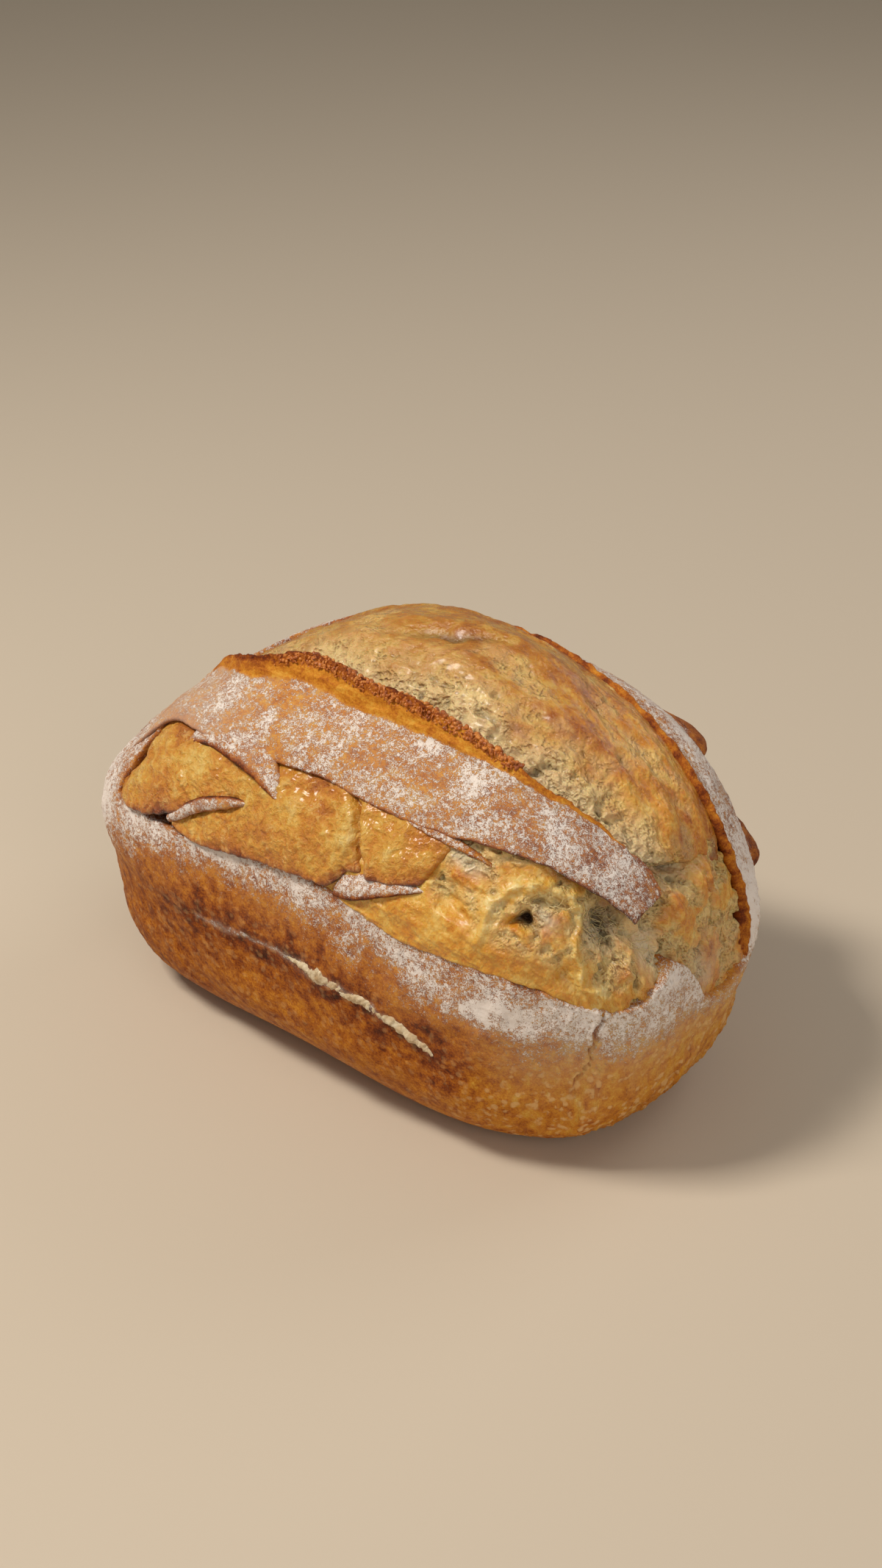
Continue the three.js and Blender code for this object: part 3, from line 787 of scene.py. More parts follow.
def torn_crumb_material():
    """Open crumb: grey-cream membranes and pores, with golden crests that carry a painted highlight, and
    painted shade in its pores, hollows and low folds.
    """
    material, tree, shader = new_material("torn crumb")
    chart = attribute(tree, "chart", "Vector")
    pale = attribute(tree, "pale")
    relief = use_group(tree, RELIEF, {"Vector": chart, "Scale": 2.0, "Fibres": 0.4})
    # Painted shade in the relief's low places and painted highlight on its crests
    bake = painted_relief_shading(tree, attribute(tree, "bake"), relief, 0.46, 0.74, 0.08)
    baked = use_group(tree, BAKED, {"Vector": chart, "Bake": bake, "Mottle": 0.2, "Mottle Scale": 0.6})
    pores = use_group(tree, PORES, {"Vector": chart, "Scale": 3.6})
    depth = multiplied(tree, ranged(tree, pores, 0.6, 0.0), ranged(tree, pale, 0.1, 0.8, 0.1, 0.6))
    colour = blended(tree, multiplied(tree, pale, 0.8), baked, srgb(*CRUMB_VEIL))
    colour = blended(tree, depth, colour, srgb(*PORE_SHADE))
    colour = blended(tree, multiplied(tree, attribute(tree, "grey"), 0.8), colour, srgb(*GREY_CRUMB))
    # Painted highlight on the crests of the relief
    colour = blended(tree, ranged(tree, relief, 0.64, 0.82, 0.0, 0.24), colour, srgb(*CRUMB_CREST_HIGHLIGHT))
    # Painted shade in the hollows, in sunken cells and over the far part of the main crumb
    colour = blended(tree, attribute(tree, "painted_shade"), colour, srgb(*HOLLOW_SHADE))
    folds = multiplied(tree, weighted(tree, (relief, 1.0, 0.6)), ranged(tree, pale, 0.0, 0.6, 0.5, 1.0))
    pits = multiplied(tree, pores, ranged(tree, pale, 0.0, 0.7, 0.2, 1.0))
    bumped(tree, shader, weighted(tree, (folds, 1.0, 0.0), (pits, 0.9, 0.0)), 0.9, 0.0013)
    set_or_join(tree, shader, {
        "Base Color": colour,
        "Roughness": ranged(tree, noise(tree, chart, 4.0, 3.0, 0.6), 0.35, 0.65, 0.2, 0.46),
        "Coat Weight": 0.28, "Coat Roughness": 0.24, "Subsurface Weight": 0.16, "Subsurface Scale": 0.005,
    })
    return material


def flour_paste_material():
    """Flour that got wet and dried to a crust."""
    material, tree, shader = new_material("flour paste")
    chart = attribute(tree, "chart", "Vector")
    relief = use_group(tree, RELIEF, {"Vector": chart, "Scale": 9.0, "Fibres": 0.3})
    bumped(tree, shader, relief, 0.8, 0.0006)
    colour = colour_ramp(tree, noise(tree, chart, 3.0, 4.0, 0.6), PASTE_STOPS)
    set_or_join(tree, shader, {"Base Color": colour, "Roughness": 0.9})
    return material


def bead_material():
    """Grains of crust that baked dark and shiny."""
    material, tree, shader = new_material("dark beads")
    place = add(tree, "ShaderNodeTexCoord").outputs["Object"]
    bumped(tree, shader, noise(tree, place, 2200.0, 3.0, 0.6), 0.6, 0.0003)
    colour = colour_ramp(tree, noise(tree, place, 420.0, 3.0, 0.6), BEAD_STOPS)
    set_or_join(tree, shader, {"Base Color": colour, "Roughness": 0.38})
    return material


def membrane_material():
    """Thin pale strands of gluten, glossy and a little clear."""
    material, tree, shader = new_material("gluten membrane")
    place = add(tree, "ShaderNodeTexCoord").outputs["Object"]
    bumped(tree, shader, noise(tree, place, 1800.0, 3.0, 0.6), 0.4, 0.0002)
    set_or_join(tree, shader, {
        "Base Color": colour_ramp(tree, noise(tree, place, 300.0, 3.0, 0.6), MEMBRANE_STOPS),
        "Roughness": 0.3, "Subsurface Weight": 0.2, "Subsurface Scale": 0.003,
    })
    return material


CRUST = floured_crust_material()
SKIN = golden_skin_material()
CRUMB = torn_crumb_material()
PASTE = flour_paste_material()
BEAD = bead_material()
MEMBRANE = membrane_material()


# Shapes that stand out on the chart

def hump(x, y, place, reach, turn=0.0):
    """1 at a place and falling smoothly to 0 past its reach along and across, turned by degrees."""
    c, s = math.cos(math.radians(turn)), math.sin(math.radians(turn))
    dx, dy = x - place[0], y - place[1]
    return np.exp(-((c * dx + s * dy) / reach[0]) ** 2 - ((c * dy - s * dx) / reach[1]) ** 2)


def path_distance(x, y, path):
    nearest = np.full(np.shape(x), 99.0)
    for (ax, ay), (bx, by) in zip(path, path[1:]):
        length = (bx - ax) ** 2 + (by - ay) ** 2
        t = np.clip(((x - ax) * (bx - ax) + (y - ay) * (by - ay)) / length, 0, 1)
        nearest = np.minimum(nearest, np.hypot(x - ax - t * (bx - ax), y - ay - t * (by - ay)))
    return nearest


def warped(x, y, size, amount, seed):
    """The same places pushed about by slow hills, so that what is drawn there looks grown."""
    return x + amount * rough(x, y, size, seed, 2), y + amount * rough(x, y, size, seed + 9, 2)


def crests(x, y, size, seed, octaves=3):
    """Sharp-topped folds from 0 to about 1, each octave half the size of the last."""
    total = 0.0
    for k in range(octaves):
        total = total + (1 - np.abs(waves(x, y, size / 2**k, seed + k)) * 2.2) * 0.5**k
    return total / 1.75


def bubbles(x, y, size, seed, share=0.62):
    """Depth from 0 to 1 of round pits that nearly touch."""
    return np.sqrt(np.clip(1 - (nearest_cell(x, y, size, seed) / share) ** 2, 0, 1))


# The body of crust round the opening

SHOULDER_END = 1.12
STREAK_PATH = [(-50, -114), (-28, -114), (4, -113), (22, -114.5), (40, -114.5), (62, -116), (86, -117.5)]
CRACK = [(129, -62), (134, -67), (138, -73), (145, -76), (148, -83), (158, -84), (172, -92)]


def flour_limit(x):
    """The chart radius at which the flour on the shoulder ends, along the loaf."""
    return 0.96 + 0.1 * smooth_step(20, 120, np.abs(x + 15))


def near_end(x, y):
    return smooth_step(62, 118, x - 0.25 * np.abs(y))


def crack_distance(x, y):
    wx, wy = warped(x, y, 5, 1.6, 71)
    return path_distance(wx, wy, CRACK)


def crust_relief(x, y):
    h = chart_radius(x, y)
    fade = 1 - smooth_step(1.3, 1.42, h)
    end = near_end(x, y) * smooth_step(0.78, 0.92, h)
    wx, wy = warped(x, y, 7, 1.5, 33)
    blisters = bubbles(wx, wy, 4.6, 31, 0.42) * smooth_step(-0.2, 0.5, rough(x, y, 18, 36))
    fine = bubbles(wx, wy, 2.3, 38, 0.4)
    hills = 0.4 * rough(x, y, 16, 11) + 0.16 * rough(x, y, 4, 21)
    crack = crack_distance(x, y)
    groove = 0.7 * bell(crack, 2.4) - 2.4 * bell(crack, 0.7)
    groove = groove * mix(0.25, 1, smooth_step(152, 142, x))
    return (hills + (0.6 * blisters + 0.25 * fine) * end + 0.14 * fine * (1 - end) + groove) * fade


HEAVY_FLOUR = (97, -93)


def crust_masks(x, y):
    h = chart_radius(x, y)
    end = near_end(x, y) * smooth_step(0.74, 0.95, h)
    limit = flour_limit(x) + 0.04 * rough(x, y, 18, 41) + 0.02 * rough(x, y, 5, 45)
    front = y < 0
    flour = 1 - smooth_step(limit - 0.16, limit + 0.06, h)
    flour = flour * np.where(front, mix(0.6, 0.5, end), 0.66)
    heavy = hump(x, y, HEAVY_FLOUR, (14, 4), 18)
    flour = flour + 0.42 * heavy * (1 + 1.2 * rough(x * 0.5, y, 3, 47))
    flour = flour + 0.1 * hump(x, y, (38, -96), (36, 7)) + 0.26 * hump(x, y, (-34, -90), (34, 7))
    flour = flour + 0.22 * smooth_step(80, 112, -x) * (h < limit)
    flour = flour + 0.3 * end * (1 - smooth_step(1.0, 1.22, h))
    under = smooth_step(limit - 0.06, limit + 0.05, h)
    flow = rough(x, y * 1.3, 9, 62, 4)
    band = bell(h - limit - 0.07, 0.08) * (1 - smooth_step(60, 110, np.abs(x - 20)))
    # The last term makes the wall a little paler low down: painted light where the lamps reach it less
    side = 0.6 + 0.2 * band * (1 + 0.4 * flow) + 0.04 * flow - 0.03 * smooth_step(1.15, 1.35, h)
    side = side + 0.06 * smooth_step(30, 90, -x)
    bake = mix(0.56, side, under)
    bake = mix(bake, 0.41 + 0.08 * flow + 0.12 * smooth_step(1.05, 1.4, h), end)
    torn = smooth_step(156, 144, x)
    crack = crack_distance(x, y)
    bake = bake - 0.1 * bell(crack, 1.6) + 0.5 * torn * bell(crack, 0.45)
    flour = flour - 0.4 * torn * bell(crack, 0.8)
    powder = (0.06 + 0.26 * end) * (1 - smooth_step(limit - 0.1, limit + 0.1 + 0.1 * end, h))
    streak_width = 1.2 + 1.4 * hump(x, y, (12, -115), (13, 9))
    streak = bell(path_distance(*warped(x, y, 6, 1.4, 67), STREAK_PATH), streak_width)
    flour = flour + 0.5 * streak * (0.9 + 0.4 * rough(x, y, 6, 69))
    powder = powder + 0.3 * streak + 0.2 * hump(x, y, HEAVY_FLOUR, (13, 4), 18)
    masks = {"flour": flour, "bake": bake, "powder": powder}
    masks["blister"] = end * smooth_step(limit - 0.1, limit + 0.04, h) + 0.3 * under * (1 - end)
    return {name: np.clip(mask, 0, 1) for name, mask in masks.items()}


def shoulder_end(rim_x, rim_y):
    """Where a line from the opening's middle through the rim leaves the shoulder."""
    near, far = np.full_like(rim_x, 1.0), np.full_like(rim_x, 12.0)
    for _ in range(40):
        middle = (near + far) / 2
        inside = chart_radius(mix(OPENING_CENTRE[0], rim_x, middle), mix(OPENING_CENTRE[1], rim_y, middle))
        inside = inside < SHOULDER_END
        near, far = np.where(inside, middle, near), np.where(inside, far, middle)
    return mix(OPENING_CENTRE[0], rim_x, near), mix(OPENING_CENTRE[1], rim_y, near)


def opening_rim(columns):
    """The ragged edge of the crust, evenly along its run."""
    loop = np.array(OPENING + OPENING[:1], dtype=float)
    rim = through_weights(len(loop), np.linspace(0, 1, columns * 8)) @ loop
    run = np.concatenate([[0], np.cumsum(np.hypot(*np.diff(rim, axis=0).T))])
    places = np.linspace(0, run[-1], columns, endpoint=False)
    x, y = np.interp(places, run, rim[:, 0]), np.interp(places, run, rim[:, 1])
    out = np.hypot(x - OPENING_CENTRE[0], y - OPENING_CENTRE[1])
    turn = places / run[-1] * 2 * math.pi
    bite = rough(60 * np.cos(turn), 60 * np.sin(turn), 5.0, 91, 4) * 0.9
    return x + (x - OPENING_CENTRE[0]) / out * bite, y + (y - OPENING_CENTRE[1]) / out * bite


# Rings under and over the opening's rim: share or distance from it in millimetres, and lift
INNER_RINGS = ((0.02, -TEAR_DEPTH), (0.4, -TEAR_DEPTH), (0.75, -TEAR_DEPTH), (0.93, -9), (0.985, -6.5))
EDGE_RINGS = ((0, -3.6), (0.05, -2.2), (0.15, -1.1), (0.45, -0.3), (0.9, 0.25))


def crust_body():
    """The whole closed crust, from the bottom of the opening out over the shoulder to the base."""
    rim_x, rim_y = opening_rim(RIM_COLUMNS)
    out = np.hypot(rim_x - OPENING_CENTRE[0], rim_y - OPENING_CENTRE[1])
    edge_x, edge_y = shoulder_end(rim_x, rim_y)
    reach = np.hypot(edge_x - rim_x, edge_y - rim_y)
    rings = []
    for share, lift in INNER_RINGS:
        rings.append((mix(OPENING_CENTRE[0], rim_x, share), mix(OPENING_CENTRE[1], rim_y, share), lift, 0))
    for gone, lift in EDGE_RINGS:
        share = gone / reach
        rings.append((mix(rim_x, edge_x, share), mix(rim_y, edge_y, share), lift, 0.4 if lift > -2 else 0))
    for t in (np.arange(1, SHOULDER_RINGS + 1) / SHOULDER_RINGS) ** 1.35:
        share = mix(1.4 / reach, 1, t)
        curl = 0.35 * np.exp(-share * reach / 2.5)
        rings.append((mix(rim_x, edge_x, share), mix(rim_y, edge_y, share), curl, 1))
    for h in np.concatenate([np.linspace(SHOULDER_END, 1.72, WALL_RINGS + 1)[1:], [1.78, 1.86, 1.95]]):
        rings.append((edge_x * h / SHOULDER_END, edge_y * h / SHOULDER_END, 0, 1))
    x, y, lift, share = (np.array([ring[k] + 0 * rim_x for ring in rings]) for k in range(4))
    lift = lift + crust_relief(x, y) * share
    points = raised(x, y, lift)
    middles = with_ends(points)
    middles[-2] = raised(*(np.array([value]) for value in (*OPENING_CENTRE, -TEAR_DEPTH)))
    middles[-1] = -BOX_MIDDLE * METRE
    beyond = np.hypot(x - OPENING_CENTRE[0], y - OPENING_CENTRE[1]) - out
    layers = {"chart": middles / METRE * CHART_UNIT}
    rim = np.exp(-np.clip(beyond, 0, 99))
    layers["rim"] = with_ends(rim)
    for key, values in crust_masks(x, y).items():
        layers[key] = with_ends(values * (1 - rim) if key == "powder" else values)
    return mesh_piece("crust_body", middles, tube_faces(len(rings), RIM_COLUMNS), layers, CRUST)


# The torn inside

# Forms placed one by one: middle on the chart, reach, turn in degrees, and height
MAIN_FORMS = [
    ((13, -3), (13, 2.2), 20, -1.8), ((34, 4), (16, 3.5), 12, 0.9), ((60, -8), (18, 4), 10, 1.0),
    ((50, -24), (9, 4), 0, -1.4), ((76, -30), (10, 4), 14, -1.5), ((20, -28), (12, 3), 0, -1.2),
    ((70, 8), (14, 3), 8, -0.8), ((88, -8), (9, 4), 20, 0.9), ((94, 8), (7, 5), 0, -0.6),
]
FIELD_FORMS = [
    ((64, -74), (6, 2.8), -20, -3.2), ((60, -67), (6, 2.6), -12, 1.3), ((86, -65.5), (4.8, 1.6), 28, -5.5),
    ((89, -56), (4.5, 2.2), 15, -1.6), ((106, -44), (7, 7), 0, -4.4), ((120, -33), (9, 6), 20, -2.8),
    ((108, -66), (4, 2.6), -20, -1.8), ((103, -3), (5, 6), 0, -3.5), ((117, -11), (6, 5), 0, 2.4),
    ((118, -22), (4, 3.5), 0, 1.6), ((116, 9), (6, 6), 0, 1.8), ((137, 4), (8, 6), 0, 0.9),
    ((130, 22), (7, 5), 0, -1.2), ((72, -56), (7, 2), -10, -0.9), ((125, -49), (3, 5), 20, 1.6),
]
ARCH = [
    (79, -78), (77, -73), (74, -67), (77, -60), (82, -54), (89, -50), (96, -48.5), (101, -54),
    (106, -60), (116, -64), (125, -60),
]
ARCH_WIDTH = 1.6
ARCH_REACH = 2.6
GREY_PLACES = [
    ((107, -46), (8, 9)), ((123, -31), (11, 8)), ((142, 2), (9, 9)), ((103, -4), (6, 8)),
    ((90, -60), (5, 3)), ((60, -62), (7, 3)),
]
FORM_SEED = 131
MAIN_DEEP = -1.8
FIELD_DEEP = -5.5
FLAKE = [(107, -42), (113, -42), (120, -40), (123, -46), (128, -44), (134, -38)]


def formed(x, y, forms):
    """The joined relief of a table of forms."""
    wx, wy = warped(x, y, 8, 1.6, FORM_SEED)
    return sum(height * hump(wx, wy, place, reach, turn) for place, reach, turn, height in forms)


def deep_hollow_shade(x, y, forms, deep):
    """1 inside those hollows of a table of forms that are at least so deep: where shade is painted."""
    wx, wy = warped(x, y, 8, 1.6, FORM_SEED)
    total = 0.0
    for place, reach, turn, height in forms:
        if height <= deep:
            total = total + hump(wx, wy, place, reach, turn) ** 2 * height / deep
    return total


def crumb_texture(x, y, openness, seed):
    """Relief of crumb: pits where it is open, and fine folds of gluten."""
    wx, wy = warped(x, y, 7, 2.2, seed)
    large = 2.2 * bubbles(wx, wy, 7.5, seed + 1, 0.5) * smooth_step(-0.3, 0.3, rough(x, y, 17, seed + 11))
    middling = 1.2 * bubbles(wx, wy, 4.0, seed + 2, 0.52) * smooth_step(-0.4, 0.3, rough(x, y, 9, seed + 12))
    small = 0.35 * bubbles(wx, wy, 1.9, seed + 3) * smooth_step(-0.3, 0.4, rough(x, y, 6, seed + 13))
    folds = 0.5 * crests(wx, wy, 8, seed + 4, 2)
    grain = 0.1 * rough(x, y, 1.6, seed + 5)
    return folds + grain - openness * (large + middling + small) - 0.1 * small


def main_openness(x, y, v):
    cell = smooth_step(0.5, 0.2, v + 0.12 * rough(x, y, 14, 141))
    patch = smooth_step(0.1, 0.6, rough(x * 0.8, y, 15, 145)) * 0.45
    return np.clip(np.maximum(cell, patch), 0, 1)


def main_relief(x, y, u, v):
    edge = smooth_step(0, 0.06, v) * smooth_step(1, 0.9, v)
    folds = 1.5 * waves(x * 0.4, y, 10, 101) + 0.7 * crests(x * 0.4, y, 10, 105)
    folds = folds + 0.4 * rough(x * 0.7, y, 6, 111)
    opened = main_openness(x, y, v)
    texture = crumb_texture(x, y, opened, 121) * mix(0.55, 0.9, opened)
    return (folds + formed(x, y, MAIN_FORMS)) * edge + texture


def main_masks(x, y, u, v, proud):
    opened = main_openness(x, y, v)
    stains = smooth_step(0.0, 0.6, rough(x * 0.6, y, 13, 151) + 0.7 * hump(x, y, (66, -8), (18, 5), 12))
    stains = stains * smooth_step(-10, 40, x)
    ends = 0.03 * smooth_step(0.6, 0.2, u) + 0.08 * smooth_step(0.75, 1, u)
    bake = 0.38 + ends + 0.16 * stains + 0.03 * proud + 0.08 * smooth_step(0.8, 1, v)
    pale = 0.9 * opened + 0.1 * smooth_step(0.1, 0.8, rough(x, y, 12, 157)) - 0.15 * proud
    # Painted shade: darker in the deepest hollows and in sunken open cells
    painted_shade = 0.45 * deep_hollow_shade(x, y, MAIN_FORMS, MAIN_DEEP) + 0.6 * opened * smooth_step(0.2, 1.4, -proud)
    # Painted shade over the far part of the main crumb, where the key lamp falls strongest
    painted_shade = painted_shade + 0.34 * smooth_step(0.8, 0.45, u) * (1 - opened)
    grey = 0.5 * opened * smooth_step(0.4, 0.1, v)
    return {"bake": bake - 0.08 * opened, "pale": pale, "painted_shade": painted_shade, "grey": grey}


def field_openness(x, y):
    """How open the torn field is: none on the golden band, most near the strip's end."""
    band = smooth_step(-79, -70, y - 0.32 * np.maximum(x - 84, 0) + 1.5 * rough(x, y, 8, 203))
    right = smooth_step(0.2, 0.7, rough(x, y, 14, 205) + 0.5)
    return np.clip(band * right, 0, 1)


def field_relief(x, y, u, v):
    wx, wy = warped(x, y, 6, 1.4, 207)
    to_arch = path_distance(wx, wy, ARCH)
    beside = bell(to_arch, ARCH_REACH)
    raised_lines = 1.5 * bell(to_arch, ARCH_WIDTH) + 1.3 * bell(path_distance(wx, wy, FLAKE), 1.4)
    openness = field_openness(x, y)
    band = 1 - openness
    strands = 0.8 * crests(x * 0.35 + y * 0.3, y, 6, 209) * band
    calm = (1 - 0.5 * beside) * mix(1, 0.4, band)
    texture = crumb_texture(x, y, openness * (1 - 0.8 * beside), 221)
    return raised_lines + formed(x, y, FIELD_FORMS) + calm * texture + strands


def field_masks(x, y, u, v, proud):
    opened = field_openness(x, y)
    wx, wy = warped(x, y, 6, 1.4, 207)
    ridge = bell(path_distance(wx, wy, ARCH), ARCH_REACH)
    knobs = sum(hump(x, y, place, reach, turn) for place, reach, turn, height in FIELD_FORMS if height > 0.8)
    knobs = np.clip(knobs, 0, 1)
    bake = 0.26 + 0.08 * (1 - opened) + 0.02 * proud + 0.14 * knobs - 0.15 * ridge
    bake = bake + 0.07 * rough(x, y, 10, 241) + 0.12 * smooth_step(0.2, 0.8, rough(x, y, 9, 245)) * opened
    bake = bake + 0.14 * smooth_step(128, 150, x)
    pale = opened * (0.8 - 0.5 * ridge - 0.7 * knobs) - 0.12 * proud
    grey = sum(hump(wx, wy, place, reach) for place, reach in GREY_PLACES) * (1 - 0.8 * knobs)
    # Painted shade: darker in the deepest hollows and in sunken open places
    painted_shade = deep_hollow_shade(x, y, FIELD_FORMS, FIELD_DEEP) + 0.4 * opened * smooth_step(0.3, 2.0, -proud)
    # Painted shadow in the cavity by the strip's end, and painted shade in the hollow at (103, -3)
    painted_shade = painted_shade + 0.6 * hump(wx, wy, (106, -41), (7, 3.5), -20) + 0.3 * hump(wx, wy, (104, -4), (4, 5))
    return {"bake": bake, "pale": pale, "painted_shade": painted_shade * (1 - 0.5 * ridge), "grey": grey * (1 - ridge)}


def core_relief(x, y, u, v):
    return crumb_texture(x, y, 0.6, 251)


def core_masks(x, y, u, v, proud):
    return {"bake": 0.34 + 0.1 * proud, "pale": 0.6}


# Golden skin that pushed out between the cuts

LOBE_CREASE = [(19, -60), (23, -66), (27, -73), (32, -80)]


def skin_relief(x, y, u, v):
    wx, wy = warped(x, y, 9, 2.0, 301)
    folds = 0.5 * waves(wx, wy * 0.6, 9, 303) + 0.6 * crests(wx * 0.7, wy, 7, 305)
    folds = folds + 0.3 * rough(x, y, 3.4, 311)
    small = bubbles(wx, wy, 2.6, 313, 0.45) * smooth_step(0.0, 0.6, rough(x, y, 12, 315))
    return folds + 0.22 * small + 0.08 * rough(x, y, 1.5, 321)


def lobe_relief(x, y, u, v):
    crease = path_distance(*warped(x, y, 6, 1.2, 335), LOBE_CREASE)
    fold = 1.1 * bell(crease - 3, 2.4) - 1.8 * bell(crease, 1.1)
    return (skin_relief(x, y, u, v) + fold) * smooth_step(1.0, 0.84, v)


def lobe_masks(x, y, u, v, proud):
    blotch = rough(x, y, 15, 331)
    lower = smooth_step(0.2, 0.0, v)
    upper = smooth_step(0.7, 0.95, v)
    bake = 0.43 + 0.16 * lower + 0.16 * upper + 0.18 * blotch - 0.06 * proud
    return {"bake": bake - 0.12 * hump(v, u, (0.5, 0.6), (0.2, 0.4))}


# Floured crust that stands over the tears

SEAM = [(-29, -14), (-18, -34), (-12, -50), (-11, -62)]

# How far across the strip its flour reaches, at places along the chart
FLOUR_LINE = [
    (-70, 1.0), (-54, 0.86), (-15, 0.79), (6, 0.76), (33, 0.8), (55, 0.88), (84, 0.94), (98, 1.06),
]


def crisp_share(x):
    """Where along the strip its raised edge baked dark and crisp."""
    return smooth_step(-44, -34, x) * (1 - smooth_step(26, 36, x))


def strip_relief(x, y, u, v):
    crisp = smooth_step(0.88, 1.0, v) * crisp_share(x)
    start = hump(x, y, (-46, -26), (7, 4)) * 1.2
    beads = bubbles(x, y, 2.2, 401, 0.6)
    slope = 0.7 * crests(x * 0.4, y * 1.5, 5, 405) * smooth_step(0.76, 0.84, v)
    return 0.3 * rough(x, y, 12, 411) + 0.12 * rough(x, y, 2.6, 421) + crisp * 1.1 * beads + start + slope


def strip_masks(x, y, u, v, proud):
    places, shares = zip(*FLOUR_LINE)
    line = np.interp(x, places, shares) + 0.012 * rough(x, y, 7, 427)
    seam = bell(path_distance(*warped(x, y, 8, 3.0, 433), SEAM), 2.6)
    dust = 0.56 + 0.13 * rough(x, y, 14, 431) - 0.16 * seam + 0.06 * smooth_step(50, 100, x)
    dust = dust - 0.07 * smooth_step(0, -40, x)
    flour = dust * smooth_step(line + 0.012, line - 0.02, v)
    bare = smooth_step(line - 0.02, line + 0.02, v)
    crisp = smooth_step(0.86, 0.97, v) * crisp_share(x)
    bare_bake = 0.06 * smooth_step(0.9, 1, v) + 0.05 * proud + 0.08 * smooth_step(0, -60, x)
    bake = mix(0.49 + 0.17 * smooth_step(30, 105, x), 0.46, bare) + bare * bare_bake
    bake = bake + 0.14 * smooth_step(0.05, 0, v) + 0.18 * crisp
    powder = (0.08 + 0.3 * smooth_step(-15, -50, x)) * (1 - bare)
    return {"flour": flour, "bake": bake, "powder": powder}


def flap_relief(x, y, u, v):
    return 0.15 * rough(x, y, 3, 501)


def flap_masks(side):
    """Masks for a floured flap that is darker and bare of flour along its left edge (side 0) or its right
    one (side 1).
    """
    def masks(x, y, u, v, proud):
        # The long flap's dark lower edge is painted shadow
        edge = smooth_step(0.34, 0.0, np.abs(v - side))
        return {"flour": 0.58 - 0.5 * edge, "bake": 0.54 + 0.28 * edge, "powder": 0.1 * (1 - edge)}
    return masks


def sliver_masks(x, y, u, v, proud):
    return {"flour": 0.62, "bake": 0.56}


def rim_relief(x, y, u, v):
    return 0.5 * skin_relief(x, y, u, v) + 0.5 * rough(x, y, 4, 517)


def rim_masks(x, y, u, v, proud):
    bake = 0.6 + 0.12 * rough(x, y, 6, 521) + 0.1 * proud
    return {"bake": bake, "flour": 0.5 * smooth_step(0.45, 0.9, v)}


def plain_masks(x, y, u, v, proud):
    return {"bake": 0.46 + 0.1 * proud}


def ear_masks(x, y, u, v, proud):
    flour, powder = 0.62 * smooth_step(0.85, 0.35, v), 0.15 * smooth_step(0.5, 0.1, v)
    return {"flour": flour, "bake": 0.58 + 0.14 * v, "powder": powder}


def streak_relief(x, y, u, v):
    return 0.35 * rough(x, y, 2.4, 601) + 0.3 * rough(x, y, 7, 605)


def flap(name, stations, along, across, side, left_rag=0.3):
    """A small floured flap of crust that stands up from a tear."""
    return sheet(name, stations, along, across, CRUST, flap_relief, flap_masks(side), rag=(left_rag, 0.2),
                 thickness=3, rim_mm=0.3)


def loaf_pieces():
    """Every finished piece, from the crust inwards and then the small things on it."""
    return [
        crust_body(),
        sheet("core_crumb", CORE, 200, 40, CRUMB, core_relief, core_masks),
        sheet("main_crumb", MAIN_CRUMB, 420, 210, CRUMB, main_relief, main_masks, rag=(0.5, 0.5), ends=1.0,
              fray=1.6),
        sheet("torn_field", TORN_FIELD, 360, 250, CRUMB, field_relief, field_masks, rag=(0.2, 0.2)),
        sheet("lobe_far", LOBE_FAR, 230, 130, SKIN, lobe_relief, lobe_masks, rim_mm=0.8),
        sheet("lobe_long", LOBE_LONG, 300, 130, SKIN, lobe_relief, lobe_masks, rag=(0.4, 0.6), rim_mm=0.8),
        sheet("strip", STRIP, 520, 150, CRUST, strip_relief, strip_masks, rag=(0.4, 0.7), thickness=2.6,
              round_mm=0.7, ends=0.7, fray=1.2, rim_mm=0.8),
        sheet("sliver", SLIVER, 90, 20, CRUST, flap_relief, sliver_masks, rag=(0.2, 0.2), thickness=1.6,
              rim_mm=0.4),
        flap("flap_far", FLAP_FAR, 110, 26, 1),
        flap("flap_pointed", FLAP_POINTED, 90, 30, 0, left_rag=0.2),
        flap("flap_long", FLAP_LONG, 110, 26, 0),
        sheet("right_rim", RIGHT_RIM, 420, 40, CRUST, rim_relief, rim_masks, rag=(0.35, 0.5), thickness=4),
        sheet("back_tear", BACK_TEAR, 300, 90, SKIN, skin_relief, plain_masks, thickness=5),
        sheet("back_ear_long", BACK_EAR_LONG, 130, 50, CRUST, flap_relief, ear_masks, thickness=2.4),
        sheet("back_ear_short", BACK_EAR_SHORT, 90, 50, CRUST, flap_relief, ear_masks, thickness=2.4),
        sheet("flour_streak", STREAK, 300, 24, PASTE, streak_relief, plain_masks, rag=(0.9, 0.9),
              thickness=2),
        crisp_beads(),
        gluten_strands(),
    ]


# Small things that repeat, made by Geometry Nodes

FULL_TURN = 6.28
STRAND_SEED = 11
# Middle and reach on the chart, and the count of strands there
STRAND_PLACES = (((107, -46), (6, 7), 46), ((119, -35), (8, 7), 34), ((89, -55), (5, 3), 16))


def geometry_tree(name, inputs):
    """An empty node tree from geometry to geometry, with named inputs of (name, socket type, default)."""
    tree = bpy.data.node_groups.new(name, "GeometryNodeTree")
    tree.interface.new_socket("Geometry", in_out="INPUT", socket_type="NodeSocketGeometry")
    for label, kind, default in inputs:
        tree.interface.new_socket(label, in_out="INPUT", socket_type=kind).default_value = default
    tree.interface.new_socket("Geometry", in_out="OUTPUT", socket_type="NodeSocketGeometry")
    return tree, tree.nodes.new("NodeGroupInput"), tree.nodes.new("NodeGroupOutput")


